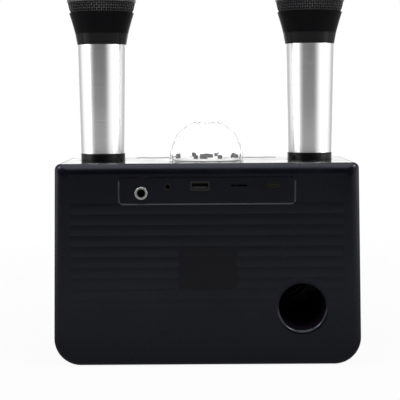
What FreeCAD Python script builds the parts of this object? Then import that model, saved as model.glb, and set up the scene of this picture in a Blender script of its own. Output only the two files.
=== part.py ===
"""Karaoke machine: a plastic cabinet with two drivers, a light dome and two microphones in wells.

Millimetres. +Z is up, the front grille faces -Y and the connectors face +Y.
The origin is on the floor, under the middle of the cabinet.
"""
import FreeCAD
import Part
import math
import os

# Cabinet
CABINET_TOP_WIDTH = 226.8
CABINET_BOTTOM_WIDTH = 231.8
CABINET_HEIGHT = 152.0
CABINET_DEPTH = 112.0
CABINET_WALL = 2.8
BOTTOM_CORNER_RADIUS = 20.0
TOP_CORNER_RADIUS = 4.5
EDGE_ROUND = 4.0
REAR_EDGE_REACH = 7.8
REAR_EDGE_DEPTH = 4.0
REAR_EDGE_START = 3.0
REAR_EDGE_SECTIONS = 8
REAR_EDGE_LEAD = 2.0
SEAM_FROM_FRONT = 28.0
SEAM_GROOVE_WIDTH = 0.8
SEAM_GROOVE_DEPTH = 0.7
LIP_LENGTH = 3.0
LIP_THICKNESS = 1.4
LIP_CLEARANCE = 0.25

# Feet
FOOT_RADIUS = 7.0
FOOT_THICKNESS = 2.2
FOOT_PROTRUSION = 1.0
FOOT_FROM_SIDE = 34.0
FOOT_FROM_END = 15.0

# Top deck
DECK_THICKNESS = 2.6
DECK_RIM = 4.5
DECK_CORNER_RADIUS = 3.0
DECK_CLEARANCE = 0.2
LEDGE_WIDTH = 3.6
LEDGE_THICKNESS = 2.0

# Front grille
GRILLE_RIM = 4.5
GRILLE_RECESS = 5.0
GRILLE_SETBACK = 0.6
GRILLE_SHEET = 1.0
GRILLE_CLEARANCE = 0.3

# Case screws and the posts that take them
POST_RADIUS = 4.0
SCREW_HEAD_GAP = 0.4
SIDE_POST_HEIGHT = 117.0
SCREW_SHANK_RADIUS = 1.25
SCREW_HEAD_RADIUS = 2.8
SCREW_HEAD_HEIGHT = 1.8
SCREW_BITE = 12.0
SCREW_CLEARANCE = 0.05
CROSS_SLOT_WIDTH = 0.7
CROSS_SLOT_DEPTH = 0.9

# Drivers, seated on the inside of the front wall
SPEAKER_FROM_SIDE = 57.4
SPEAKER_HEIGHT = 66.0
SPEAKER_CUTOUT_RADIUS = 34.0
SPEAKER_FLANGE_RADIUS = 40.0
SPEAKER_FLANGE_THICKNESS = 1.5
BASKET_DEPTH = 17.0
BASKET_SHEET = 1.2
BASKET_WINDOWS = 6
BASKET_WINDOW_WIDTH = 14.0
MAGNET_RADIUS = 20.0
MAGNET_DEPTH = 12.0
TOP_PLATE_THICKNESS = 2.8
YOKE_THICKNESS = 2.2
COIL_RADIUS = 10.2
COIL_WALL = 0.4
COIL_GAP = 0.45
COIL_REACH = 5.0
CONE_RADIUS = 26.5
CONE_DEPTH = 10.0
CONE_SHEET = 0.8
DUST_CAP_RADIUS = 13.0
DUST_CAP_RISE = 4.0
DUST_CAP_SHEET = 0.6
SURROUND_RADIUS = 32.6
SURROUND_LIP = 1.6
SURROUND_SHEET = 0.6
SPEAKER_SCREW_CIRCLE = 37.0
SPEAKER_SCREWS = 4
SPEAKER_SCREW_BITE = 2.2

# Rear wall: connector recess, ribs, label and bass port
IO_WIDTH = 130.3
IO_HEIGHT = 19.0
IO_BELOW_TOP = 10.8
IO_CORNER_RADIUS = 2.4
IO_DEPTH = 1.2
IO_BEVEL = 1.1
RIB_PITCH = 8.02
RIB_DEPTH = 0.08
RIB_SKIN = 0.05
RIB_ZONE_MARGIN = 11.5
RIB_ZONE_BELOW_TOP = 29.6
RIB_ZONE_ABOVE_BASE = 8.6
LABEL_WIDTH = 43.0
LABEL_HEIGHT = 30.0
LABEL_THICKNESS = 0.25
LABEL_CORNER_RADIUS = 1.2
LABEL_X = -0.5
LABEL_Z = 74.0
LABEL_SETBACK = 0.05
LABEL_MARGIN = 0.6
PORT_RADIUS = 17.0
PORT_WALL = 2.0
PORT_LENGTH = 46.0
PORT_FLANGE_RADIUS = 23.0
PORT_FLANGE_THICKNESS = 2.0
PORT_LIP_ROUND = 4.0
PORT_LIP_DEPTH = 2.6
PORT_LAND = 2.0
PORT_FROM_SIDE = 44.0
PORT_Z = 44.7

# Connectors, placed from the middle of the cabinet and from its top
JACK_X = 49.1
JACK_BELOW_TOP = 22.1
JACK_BORE_RADIUS = 3.2
JACK_BUSH_RADIUS = 4.0
JACK_NUT_RADIUS = 4.75
JACK_NUT_THICKNESS = 1.0
JACK_HOUSING_RADIUS = 7.6
JACK_HOUSING_LENGTH = 24.0
JACK_END_WALL = 2.0
AUX_X = 29.3
AUX_BELOW_TOP = 17.4
AUX_BORE_RADIUS = 1.8
AUX_NOSE_RADIUS = 2.9
AUX_WIDTH = 12.0
AUX_LENGTH = 14.0
USB_X = 5.2
USB_BELOW_TOP = 16.9
USB_WIDTH = 13.2
USB_HEIGHT = 5.8
USB_LENGTH = 14.0
USB_SHEET = 0.4
USB_FLARE = 0.65
USB_POCKET_DEPTH = 9.0
USB_TONGUE_HEIGHT = 1.8
CARD_X = -24.2
CARD_BELOW_TOP = 16.6
CARD_WIDTH = 14.0
CARD_LENGTH = 15.0
CARD_COVER = 1.0
CARD_SLOT_WIDTH = 11.6
CARD_SLOT_HEIGHT = 1.4
CARD_SLOT_DEPTH = 12.0
CHARGE_X = -49.7
CHARGE_BELOW_TOP = 16.4
CHARGE_WIDTH = 9.0
CHARGE_HEIGHT = 3.3
CHARGE_LENGTH = 9.0
CHARGE_SHEET = 0.4
CHARGE_POCKET_DEPTH = 6.0
CHARGE_TONGUE_HEIGHT = 0.7
LIGHT_X = -42.0
LIGHT_RADIUS = 1.0
SOCKET_CLEARANCE = 0.15

# Circuit boards and battery in the cabinet
BOARD_THICKNESS = 1.6
IO_BOARD_DEPTH = 22.0
IO_BOARD_MARGIN = 8.0
IO_BOARD_GAP = 0.4
IO_RAIL_WIDTH = 6.0
IO_RAIL_HEIGHT = 4.0
IO_RAIL_SPACING = 60.0
BOARD_SCREW_BITE = 6.0
BOARD_BATTERY_GAP = 10.0
MAIN_BOARD_WIDTH = 54.0
MAIN_BOARD_DEPTH = 44.0
MAIN_BOARD_FROM_REAR = 8.0
MAIN_BOARD_POST_HEIGHT = 8.0
MAIN_BOARD_POST_RADIUS = 3.2
MAIN_BOARD_POST_INSET = 4.5
AMP_CHIP = (16.0, 12.0, 3.0)
HEAT_SINK = (22.0, 14.0, 12.0)
CAPACITOR_RADIUS = 4.0
CAPACITOR_HEIGHT = 14.0
CELL_RADIUS = 9.2
CELL_LENGTH = 66.0
CELL_COUNT = 2
BATTERY_FROM_SIDE = 30.9
BATTERY_FROM_REAR = 12.0
CRADLE_WALL = 2.0
CRADLE_HEIGHT = 12.0
CRADLE_CLEARANCE = 0.3

# Buttons in the top deck
BUTTON_NAMES = ("mode", "previous", "play", "next", "light")
BUTTON_PITCH = 21.0
BUTTON_WIDTH = 14.0
BUTTON_DEPTH = 8.0
BUTTON_CORNER_RADIUS = 3.9
BUTTON_PROUD = 0.15
BUTTON_EDGE_ROUND = 0.6
BUTTON_CLEARANCE = 0.25
BUTTON_FLANGE = 1.4
BUTTON_FLANGE_THICKNESS = 1.2
BUTTON_FLANGE_GAP = 0.3
BUTTON_LEDGE_GAP = 1.5
BUTTON_STRIP_WIDTH = 114.0
BUTTON_STRIP_DEPTH = 15.0
BUTTON_STRIP_SINK = 0.3
BUTTON_STEM_RADIUS = 1.5
SWITCH_SIZE = 6.0
SWITCH_HEIGHT = 3.6
SWITCH_BORE_RADIUS = 1.8
SWITCH_BORE_DEPTH = 2.2
SWITCH_ENGAGEMENT = 0.5
SWITCH_STEM_GAP = 2.0
CONTROL_BOARD_WIDTH = 126.0
CONTROL_BOARD_DEPTH = 12.0
CONTROL_POST_RADIUS = 2.5
CONTROL_POST_INSET = 5.0

# Light dome
DOME_RADIUS = 28.9
DOME_WALL = 2.6
DOME_BAND = 1.9
DOME_LIFT = 0.6
DOME_FACETS = 16
DOME_ROW_ANGLES = (0.0, 19.0, 38.0, 56.0, 72.0)
DOME_HOLE_RADIUS = 26.4
HUB_RADIUS = 5.2
HUB_HEIGHT = 4.4
SPOKES = 3
SPOKE_WIDTH = 5.0
SPOKE_THICKNESS = 1.5
SPOKE_RING_WIDTH = 2.6
HUB_CLEARANCE = 0.3
SHAFT_RADIUS = 1.5
SHAFT_CLEARANCE = 0.05
LIGHT_CUP_WALL = 2.0
LIGHT_CUP_DEPTH = 8.5
LIGHT_CUP_FLOOR = 2.0
LIGHT_CUP_FLANGE = 2.5
MOTOR_RADIUS = 10.0
MOTOR_LENGTH = 22.0
MOTOR_FLANGE_RADIUS = 15.0
MOTOR_FLANGE_THICKNESS = 2.0
MOTOR_TOP_BELOW_DECK = 2.5
MOTOR_CLEARANCE = 0.3
LED_COUNT = 6
LED_RADIUS = 2.5
LED_HEIGHT = 4.5
LED_CIRCLE = 18.5

# Microphones and their wells
MIC_FROM_SIDE = 32.2
MIC_Y = -2.0
WELL_DEPTH = 60.0
WELL_WALL = 2.0
WELL_FLOOR = 2.0
WELL_CLEARANCE = 0.6
WELL_FLANGE = 3.6
WELL_FLANGE_THICKNESS = 2.0
WELL_MOUTH_CHAMFER = 0.5
TAIL_SHOWING = 5.8
TAIL_BOTTOM_RADIUS = 15.6
TAIL_WALL = 2.4
TAIL_FLOOR = 2.4
TAIL_END_ROUND = 2.4
BARREL_LENGTH = 84.4
BARREL_BOTTOM_RADIUS = 17.4
BARREL_TOP_RADIUS = 19.1
BARREL_WALL = 1.3
SPIGOT_LENGTH = 6.0
SPIGOT_CLEARANCE = 0.05
NECK_COLLAR_HEIGHT = 9.0
NECK_COLLAR_RADIUS = 20.7
NECK_FLARE_HEIGHT = 15.5
NECK_TOP_RADIUS = 25.2
NECK_WALL = 2.0
NECK_FLOOR = 2.5
CAPSULE_RADIUS = 12.0
CAPSULE_HEIGHT = 9.0
CAPSULE_POST_RADIUS = 5.0
CAPSULE_ABOVE_NECK = 8.0
HEAD_SEAT_RADIUS = 23.9
HEAD_RADIUS = 26.2
HEAD_LOWER_HEIGHT = 8.0
HEAD_BAND_HEIGHT = 5.0
HEAD_BAND_PROUD = 0.7
HEAD_DOME_HEIGHT = 23.5
HEAD_SHEET = 1.2
MIC_CELL_LENGTH = 65.0
MIC_BOARD_WIDTH = 20.0
MIC_BOARD_LENGTH = 74.0
MIC_BOARD_FORWARD = 7.0
MIC_BUTTON_ABOVE_BARREL_FOOT = 56.0
MIC_BUTTON_RADIUS = 4.5
MIC_BUTTON_PROUD = 1.3
MIC_BUTTON_FLANGE_RADIUS = 6.0
MIC_BUTTON_FLANGE_SETBACK = 1.8
MIC_BUTTON_FLANGE_THICKNESS = 1.0

# Values that follow from the sizes above
CABINET_BASE = FOOT_PROTRUSION
CABINET_TOP = CABINET_BASE + CABINET_HEIGHT
Y_FRONT = -CABINET_DEPTH / 2
Y_REAR = CABINET_DEPTH / 2
SEAM_Y = Y_FRONT + SEAM_FROM_FRONT
FLOOR_TOP = CABINET_BASE + CABINET_WALL
FRONT_WALL_FACE = Y_FRONT + GRILLE_RECESS
FRONT_WALL_BACK = FRONT_WALL_FACE + CABINET_WALL
REAR_WALL_INSIDE = Y_REAR - CABINET_WALL
IO_FACE = Y_REAR - IO_DEPTH
DECK_BOTTOM = CABINET_TOP - DECK_THICKNESS
LEDGE_BOTTOM = DECK_BOTTOM - LEDGE_THICKNESS
GRILLE_INSIDE = GRILLE_RIM + GRILLE_CLEARANCE + GRILLE_SHEET
POST_FROM_WALL = GRILLE_INSIDE + SCREW_HEAD_RADIUS + SCREW_HEAD_GAP - CABINET_WALL
DECK_WIDTH = CABINET_TOP_WIDTH - 2 * DECK_RIM
DECK_DEPTH = CABINET_DEPTH - 2 * DECK_RIM
BUTTON_REACH = BUTTON_DEPTH / 2 + BUTTON_FLANGE
BUTTON_Y = Y_FRONT + DECK_RIM + LEDGE_WIDTH + BUTTON_LEDGE_GAP + BUTTON_REACH
DOME_Y = (BUTTON_Y + BUTTON_REACH + Y_REAR - DECK_RIM - LEDGE_WIDTH) / 2
MIC_X = CABINET_TOP_WIDTH / 2 - MIC_FROM_SIDE
SWITCH_TOP = DECK_BOTTOM - BUTTON_FLANGE_GAP - BUTTON_FLANGE_THICKNESS - SWITCH_STEM_GAP
CONTROL_BOARD_TOP = SWITCH_TOP - SWITCH_HEIGHT
USB_Z = CABINET_TOP - USB_BELOW_TOP
IO_BOARD_TOP = USB_Z - USB_HEIGHT / 2
IO_BOARD_BOTTOM = IO_BOARD_TOP - BOARD_THICKNESS
IO_BOARD_REAR = REAR_WALL_INSIDE - IO_BOARD_GAP
MAIN_BOARD_BOTTOM = FLOOR_TOP + MAIN_BOARD_POST_HEIGHT
MAIN_BOARD_TOP = MAIN_BOARD_BOTTOM + BOARD_THICKNESS
MAIN_BOARD_Y = REAR_WALL_INSIDE - MAIN_BOARD_FROM_REAR - MAIN_BOARD_DEPTH / 2
PACK_DEPTH = 2 * CELL_RADIUS * CELL_COUNT
BATTERY_X = CABINET_BOTTOM_WIDTH / 2 - BATTERY_FROM_SIDE - CELL_LENGTH / 2
MAIN_BOARD_X = BATTERY_X - CELL_LENGTH / 2 - BOARD_BATTERY_GAP - MAIN_BOARD_WIDTH / 2
BATTERY_Y = REAR_WALL_INSIDE - BATTERY_FROM_REAR - PACK_DEPTH / 2
BASKET_BACK = FRONT_WALL_BACK + BASKET_DEPTH
WELL_FLOOR_TOP = CABINET_TOP - WELL_DEPTH
BARREL_FOOT = CABINET_TOP + TAIL_SHOWING
BARREL_HEAD = BARREL_FOOT + BARREL_LENGTH
WELL_BORE_RADIUS = BARREL_BOTTOM_RADIUS + WELL_CLEARANCE
NECK_TOP = BARREL_HEAD + NECK_COLLAR_HEIGHT + NECK_FLARE_HEIGHT
DOME_FOOT = CABINET_TOP + DOME_LIFT
LIGHT_CUP_RADIUS = DOME_HOLE_RADIUS + LIGHT_CUP_WALL
LIGHT_CUP_BOTTOM = DECK_BOTTOM - LIGHT_CUP_DEPTH - LIGHT_CUP_FLOOR
LIGHT_BOARD_BOTTOM = LIGHT_CUP_BOTTOM + LIGHT_CUP_FLOOR
MOTOR_TOP = CABINET_TOP - MOTOR_TOP_BELOW_DECK
UP = FreeCAD.Vector(0, 0, 1)
BACK = FreeCAD.Vector(0, 1, 0)
OVERSHOOT = 1.0


def vector(x, y, z):
    return FreeCAD.Vector(x, y, z)


def rounded_wire(corners, radii, place):
    """A closed wire through the corners of a convex outline, each corner an arc of its own radius."""
    edges = []
    ends = []
    count = len(corners)
    for index, (corner, radius) in enumerate(zip(corners, radii)):
        before = FreeCAD.Vector(*corners[index - 1], 0)
        here = FreeCAD.Vector(*corner, 0)
        after = FreeCAD.Vector(*corners[(index + 1) % count], 0)
        to_before = (before - here).normalize()
        to_after = (after - here).normalize()
        half_angle = to_before.getAngle(to_after) / 2
        reach = radius / math.tan(half_angle)
        middle = (to_before + to_after).normalize() * (radius / math.sin(half_angle) - radius)
        ends.append((here + to_before * reach, here + middle, here + to_after * reach))
    for index, (start, middle, end) in enumerate(ends):
        next_start = ends[(index + 1) % count][0]
        edges.append(Part.Arc(place(start), place(middle), place(end)).toShape())
        edges.append(Part.LineSegment(place(end), place(next_start)).toShape())
    return Part.Wire(edges)


def plate_xz(corners, radii, y_low, y_high):
    """A plate whose rounded outline is in X and Z, from y_low to y_high."""
    wire = rounded_wire(corners, radii, lambda p: vector(p.x, y_low, p.y))
    return Part.Face(wire).extrude(vector(0, y_high - y_low, 0))


def plate_xy(corners, radii, z_low, z_high):
    """A plate whose rounded outline is in X and Y, from z_low to z_high."""
    wire = rounded_wire(corners, radii, lambda p: vector(p.x, p.y, z_low))
    return Part.Face(wire).extrude(vector(0, 0, z_high - z_low))


def rectangle(middle_u, middle_v, width, height):
    """The four corners of a rectangle, counter-clockwise."""
    u, v = width / 2, height / 2
    return [
        (middle_u - u, middle_v - v),
        (middle_u + u, middle_v - v),
        (middle_u + u, middle_v + v),
        (middle_u - u, middle_v + v),
    ]


def block(x_low, x_high, y_low, y_high, z_low, z_high):
    return Part.makeBox(x_high - x_low, y_high - y_low, z_high - z_low, vector(x_low, y_low, z_low))


def rod_z(x, y, radius, z_low, z_high):
    return Part.makeCylinder(radius, z_high - z_low, vector(x, y, z_low), UP)


def rod_y(x, z, radius, y_low, y_high):
    return Part.makeCylinder(radius, y_high - y_low, vector(x, y_low, z), BACK)


def turned(steps):
    """A solid turned about Z from an outline of (radius, height) points; a step of two points is an arc."""
    edges = []
    here = steps[0]
    for step in [*steps[1:], steps[0]]:
        start = vector(here[0], 0, here[1])
        if isinstance(step[0], tuple):
            middle, end = step
            edges.append(Part.Arc(start, vector(middle[0], 0, middle[1]), vector(end[0], 0, end[1])).toShape())
            here = end
        elif step != here:
            edges.append(Part.LineSegment(start, vector(step[0], 0, step[1])).toShape())
            here = step
    solid = Part.Face(Part.Wire(edges)).revolve(vector(0, 0, 0), UP, 360)
    return Part.Solid(solid.Shells[0]) if solid.ShapeType != "Solid" else solid


def ball_middle(radius, foot, rise):
    """The middle of an arc from (radius, foot) to the axis, on a ball whose centre is on the axis."""
    ball = (radius * radius + rise * rise) / (2 * abs(rise))
    half_angle = math.atan2(radius, ball - abs(rise)) / 2
    height = ball * math.cos(half_angle) - (ball - abs(rise))
    return (ball * math.sin(half_angle), foot + math.copysign(height, rise))


def facing_back(shape, x, y, z):
    """A turned solid laid along +Y, with the foot of its axis at the given place."""
    laid = shape.copy()
    laid.rotate(vector(0, 0, 0), vector(1, 0, 0), -90)
    laid.translate(vector(x, y, z))
    return laid


def moved(shape, x=0.0, y=0.0, z=0.0):
    copy = shape.copy()
    copy.translate(vector(x, y, z))
    return copy


def joined(shapes):
    whole = shapes[0]
    for shape in shapes[1:]:
        whole = whole.fuse(shape)
    return whole.removeSplitter()


def edges_at(shape, axis, value):
    """The edges of a shape that lie wholly at one X, Y or Z."""
    found = []
    for edge in shape.Edges:
        low = getattr(edge.BoundBox, axis + "Min")
        high = getattr(edge.BoundBox, axis + "Max")
        if abs(low - value) < 1e-4 and abs(high - value) < 1e-4:
            found.append(edge)
    return found


def cross_slots(x, y, depth_low, depth_high, radius):
    """Two crossed bars along Y that cut a screwdriver recess at an (x, height) place."""
    half = CROSS_SLOT_WIDTH / 2
    reach = radius * 0.65
    return [
        block(x - reach, x + reach, depth_low, depth_high, y - half, y + half),
        block(x - half, x + half, depth_low, depth_high, y - reach, y + reach),
    ]


# Cabinet outline


def half_width(z):
    """Half of the cabinet's outside width at a height; the sides lean in towards the top."""
    share = (z - CABINET_BASE) / CABINET_HEIGHT
    return (CABINET_BOTTOM_WIDTH + (CABINET_TOP_WIDTH - CABINET_BOTTOM_WIDTH) * share) / 2


def cabinet_corners(inset, top):
    """The four corners of the cabinet's outline drawn in by an inset, up to a top."""
    base = CABINET_BASE + inset
    low, high = half_width(base) - inset, half_width(top) - inset
    return [(-low, base), (low, base), (high, top), (-high, top)]


def cabinet_prism(inset, y_low, y_high, z_high=None):
    """The cabinet's outline drawn in by an inset, from y_low to y_high."""
    top = CABINET_TOP - inset if z_high is None else z_high
    bottom_radius = max(BOTTOM_CORNER_RADIUS - inset, 1.0)
    top_radius = max(TOP_CORNER_RADIUS - inset, 1.0)
    radii = [bottom_radius, bottom_radius, top_radius, top_radius]
    return plate_xz(cabinet_corners(inset, top), radii, y_low, y_high)


def cavity_prism(inset, y_low, y_high):
    """The room inside the walls, which ends below the ledge that carries the top deck."""
    return cabinet_prism(CABINET_WALL + inset, y_low, y_high, LEDGE_BOTTOM - inset)


def rear_section(inset, y):
    """The cabinet's outline drawn in by an inset, in the plane of one Y; the upper corners keep their radius."""
    bottom_radius = BOTTOM_CORNER_RADIUS - inset
    radii = [bottom_radius, bottom_radius, TOP_CORNER_RADIUS, TOP_CORNER_RADIUS]
    return rounded_wire(cabinet_corners(inset, CABINET_TOP - inset), radii, lambda p: vector(p.x, y, p.y))


def rear_end(lead_y):
    """The soft rear edge: sections drawn in along a quarter ellipse, after two that stand outside the walls, so
    that the ellipse leaves the walls at a small angle."""
    start = math.radians(REAR_EDGE_START)
    slope = REAR_EDGE_REACH * math.tan(start) / REAR_EDGE_DEPTH
    lead_inset = REAR_EDGE_REACH * (1 - math.cos(start))
    sections = []
    for lead in (REAR_EDGE_LEAD, REAR_EDGE_LEAD / 2):
        sections.append(rear_section(lead_inset - lead * slope, lead_y - lead))
    for step in range(REAR_EDGE_SECTIONS + 1):
        angle = start + (math.pi / 2 - start) * step / REAR_EDGE_SECTIONS
        inset = REAR_EDGE_REACH * (1 - math.cos(angle))
        sections.append(rear_section(inset, Y_REAR - REAR_EDGE_DEPTH * (1 - math.sin(angle))))
    return Part.makeLoft(sections, True, False)


def outside_solid():
    lead_y = Y_REAR - REAR_EDGE_DEPTH * (1 - math.sin(math.radians(REAR_EDGE_START)))
    split = lead_y - REAR_EDGE_LEAD
    front = cabinet_prism(0, Y_FRONT, split)
    front = front.makeFillet(EDGE_ROUND, edges_at(front, "Y", Y_FRONT))
    rear = cabinet_prism(0, split, Y_REAR + OVERSHOOT).common(rear_end(lead_y))
    return joined([front, rear])


def deck_opening():
    """The pocket that the top deck drops into, with the narrower hole inside its ledge."""
    pocket = plate_xy(
        rectangle(0, 0, DECK_WIDTH + 2 * DECK_CLEARANCE, DECK_DEPTH + 2 * DECK_CLEARANCE),
        [DECK_CORNER_RADIUS + DECK_CLEARANCE] * 4,
        DECK_BOTTOM,
        CABINET_TOP + OVERSHOOT,
    )
    hole = plate_xy(
        rectangle(0, 0, DECK_WIDTH - 2 * LEDGE_WIDTH, DECK_DEPTH - 2 * LEDGE_WIDTH),
        [DECK_CORNER_RADIUS] * 4,
        LEDGE_BOTTOM - OVERSHOOT,
        CABINET_TOP,
    )
    return pocket.fuse(hole)


def seam_groove():
    low, high = SEAM_Y - SEAM_GROOVE_WIDTH / 2, SEAM_Y + SEAM_GROOVE_WIDTH / 2
    return cabinet_prism(-OVERSHOOT, low, high).cut(cabinet_prism(SEAM_GROOVE_DEPTH, low, high))


def post_places():
    """Where the four case screws run: two high on the sides and two in the bottom corners."""
    side_x = half_width(SIDE_POST_HEIGHT) - CABINET_WALL - POST_FROM_WALL
    inner_radius = BOTTOM_CORNER_RADIUS - CABINET_WALL
    corner_x = half_width(CABINET_BASE) - BOTTOM_CORNER_RADIUS
    corner_z = CABINET_BASE + BOTTOM_CORNER_RADIUS
    reach = (inner_radius - POST_FROM_WALL) / math.sqrt(2)
    places = []
    for side in (-1, 1):
        places.append((side * side_x, SIDE_POST_HEIGHT))
        places.append((side * (corner_x + reach), corner_z - reach))
    return places


def speaker_places():
    x = half_width(SPEAKER_HEIGHT) - SPEAKER_FROM_SIDE
    return {"left": -x, "right": x}


def port_x():
    """The bass port keeps its distance from the cabinet's left side."""
    return PORT_FROM_SIDE - half_width(PORT_Z)


def speaker_screw_places(x):
    """Screws on the driver's flange, clear of the horizontal and vertical."""
    places = []
    for index in range(SPEAKER_SCREWS):
        angle = math.radians(45 + index * 360 / SPEAKER_SCREWS)
        places.append(
            (x + SPEAKER_SCREW_CIRCLE * math.cos(angle), SPEAKER_HEIGHT + SPEAKER_SCREW_CIRCLE * math.sin(angle))
        )
    return places


# Shells


def front_shell():
    solid = outside_solid().common(block(-500, 500, Y_FRONT - OVERSHOOT, SEAM_Y, -OVERSHOOT, 500))
    solid = solid.cut(cabinet_prism(GRILLE_RIM, Y_FRONT - OVERSHOOT, FRONT_WALL_FACE))
    solid = solid.cut(cavity_prism(0, FRONT_WALL_BACK, SEAM_Y + OVERSHOOT))
    posts = [rod_y(x, z, POST_RADIUS, FRONT_WALL_BACK - OVERSHOOT, SEAM_Y) for x, z in post_places()]
    inside = cabinet_prism(CABINET_WALL / 2, FRONT_WALL_BACK - OVERSHOOT, SEAM_Y)
    solid = joined([solid, *[post.common(inside) for post in posts]])
    cuts = [deck_opening(), seam_groove(), *foot_pockets()]
    for x, z in post_places():
        cuts.append(rod_y(x, z, SCREW_SHANK_RADIUS + 2 * SCREW_CLEARANCE, Y_FRONT, SEAM_Y + OVERSHOOT))
    for x in speaker_places().values():
        cuts.append(rod_y(x, SPEAKER_HEIGHT, SPEAKER_CUTOUT_RADIUS, Y_FRONT, FRONT_WALL_BACK + OVERSHOOT))
        for screw_x, screw_z in speaker_screw_places(x):
            radius = SCREW_SHANK_RADIUS + SCREW_CLEARANCE
            pilot_end = FRONT_WALL_BACK - SPEAKER_SCREW_BITE - 2 * SCREW_CLEARANCE
            cuts.append(rod_y(screw_x, screw_z, radius, pilot_end, FRONT_WALL_BACK + OVERSHOOT))
    return solid.cut(cuts)


def seam_lip():
    """The tongue that lines the two shells up, on the sides and the floor."""
    outer = cavity_prism(LIP_CLEARANCE, SEAM_Y - LIP_LENGTH, SEAM_Y)
    root = cavity_prism(-CABINET_WALL / 2, SEAM_Y, SEAM_Y + LIP_LENGTH)
    bore = cavity_prism(LIP_CLEARANCE + LIP_THICKNESS, SEAM_Y - 2 * LIP_LENGTH, SEAM_Y + 2 * LIP_LENGTH)
    lip = outer.fuse(root).cut(bore)
    above = LEDGE_BOTTOM - LIP_LENGTH
    lip = lip.cut(block(-500, 500, Y_FRONT, Y_REAR, above, 500))
    for x, z in post_places():
        lip = lip.cut(rod_y(x, z, POST_RADIUS + LIP_CLEARANCE, SEAM_Y - 2 * LIP_LENGTH, SEAM_Y))
    return lip


def rib_cutter():
    """What the ribbed zone loses: the space over a row of shallow arcs that meet in sharp grooves."""
    z_low = CABINET_BASE + RIB_ZONE_ABOVE_BASE
    z_high = CABINET_TOP - RIB_ZONE_BELOW_TOP
    count = int((z_high - z_low) / RIB_PITCH)
    z_low = z_high - count * RIB_PITCH
    crest = Y_REAR - RIB_SKIN
    groove = crest - RIB_DEPTH
    clear = Y_REAR + OVERSHOOT
    edges = []
    for index in range(count):
        foot = z_low + index * RIB_PITCH
        edges.append(
            Part.Arc(
                vector(0, groove, foot),
                vector(0, crest, foot + RIB_PITCH / 2),
                vector(0, groove, foot + RIB_PITCH),
            ).toShape()
        )
    edges.append(Part.LineSegment(vector(0, groove, z_high), vector(0, clear, z_high)).toShape())
    edges.append(Part.LineSegment(vector(0, clear, z_high), vector(0, clear, z_low)).toShape())
    edges.append(Part.LineSegment(vector(0, clear, z_low), vector(0, groove, z_low)).toShape())
    reach = CABINET_TOP_WIDTH / 2 - RIB_ZONE_MARGIN
    cutter = Part.Face(Part.Wire(edges)).extrude(vector(2 * reach, 0, 0))
    cutter.translate(vector(-reach, 0, 0))
    corners = cabinet_prism(RIB_ZONE_MARGIN, groove - OVERSHOOT, clear)
    label_pad = label_plate(LABEL_MARGIN, groove - OVERSHOOT, clear + OVERSHOOT)
    port_land = rod_y(port_x(), PORT_Z, port_lip_radius() + PORT_LAND, groove - OVERSHOOT, clear + OVERSHOOT)
    return cutter.common(corners).cut([label_pad, port_land])


def io_outline(spread, y):
    """The recess's rounded outline in the plane of one Y, made wider all round by a spread."""
    middle = CABINET_TOP - IO_BELOW_TOP - IO_HEIGHT / 2
    corners = rectangle(0, middle, IO_WIDTH + 2 * spread, IO_HEIGHT + 2 * spread)
    return rounded_wire(corners, [IO_CORNER_RADIUS + spread] * 4, lambda p: vector(p.x, y, p.y))


def io_recess():
    """The connector recess: a flat-floored pocket with a bevelled edge."""
    bevel_foot, clear = Y_REAR - IO_BEVEL, Y_REAR + OVERSHOOT
    pocket = Part.Face(io_outline(0, IO_FACE)).extrude(vector(0, clear - IO_FACE, 0))
    bevel = Part.makeLoft([io_outline(0, bevel_foot), io_outline(clear - bevel_foot, clear)], True, True)
    return pocket.fuse(bevel)


def label_plate(margin, y_low, y_high):
    corners = rectangle(LABEL_X, LABEL_Z, LABEL_WIDTH + 2 * margin, LABEL_HEIGHT + 2 * margin)
    return plate_xz(corners, [LABEL_CORNER_RADIUS + margin] * 4, y_low, y_high)


def port_lip_radius():
    """Where the port's lip meets the flat of the rear wall: an arc of the lip's round, as deep as the lip."""
    return PORT_RADIUS + math.sqrt(PORT_LIP_ROUND**2 - (PORT_LIP_ROUND - PORT_LIP_DEPTH) ** 2)


def port_mouth():
    """The round hole of the bass port, with a lip that rounds out to the flat of the rear wall."""
    inside = REAR_WALL_INSIDE - OVERSHOOT
    face = Y_REAR - inside
    lip = port_lip_radius()
    half_turn = math.acos(1 - PORT_LIP_DEPTH / PORT_LIP_ROUND) / 2
    middle_radius = lip - PORT_LIP_ROUND * math.sin(half_turn)
    middle_depth = PORT_LIP_ROUND * (1 - math.cos(half_turn))
    flare = turned(
        [
            (0, 0),
            (PORT_RADIUS, 0),
            (PORT_RADIUS, face - PORT_LIP_DEPTH),
            ((middle_radius, face - middle_depth), (lip, face)),
            (lip, face + OVERSHOOT),
            (0, face + OVERSHOOT),
        ]
    )
    return facing_back(flare, port_x(), inside, PORT_Z)


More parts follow.
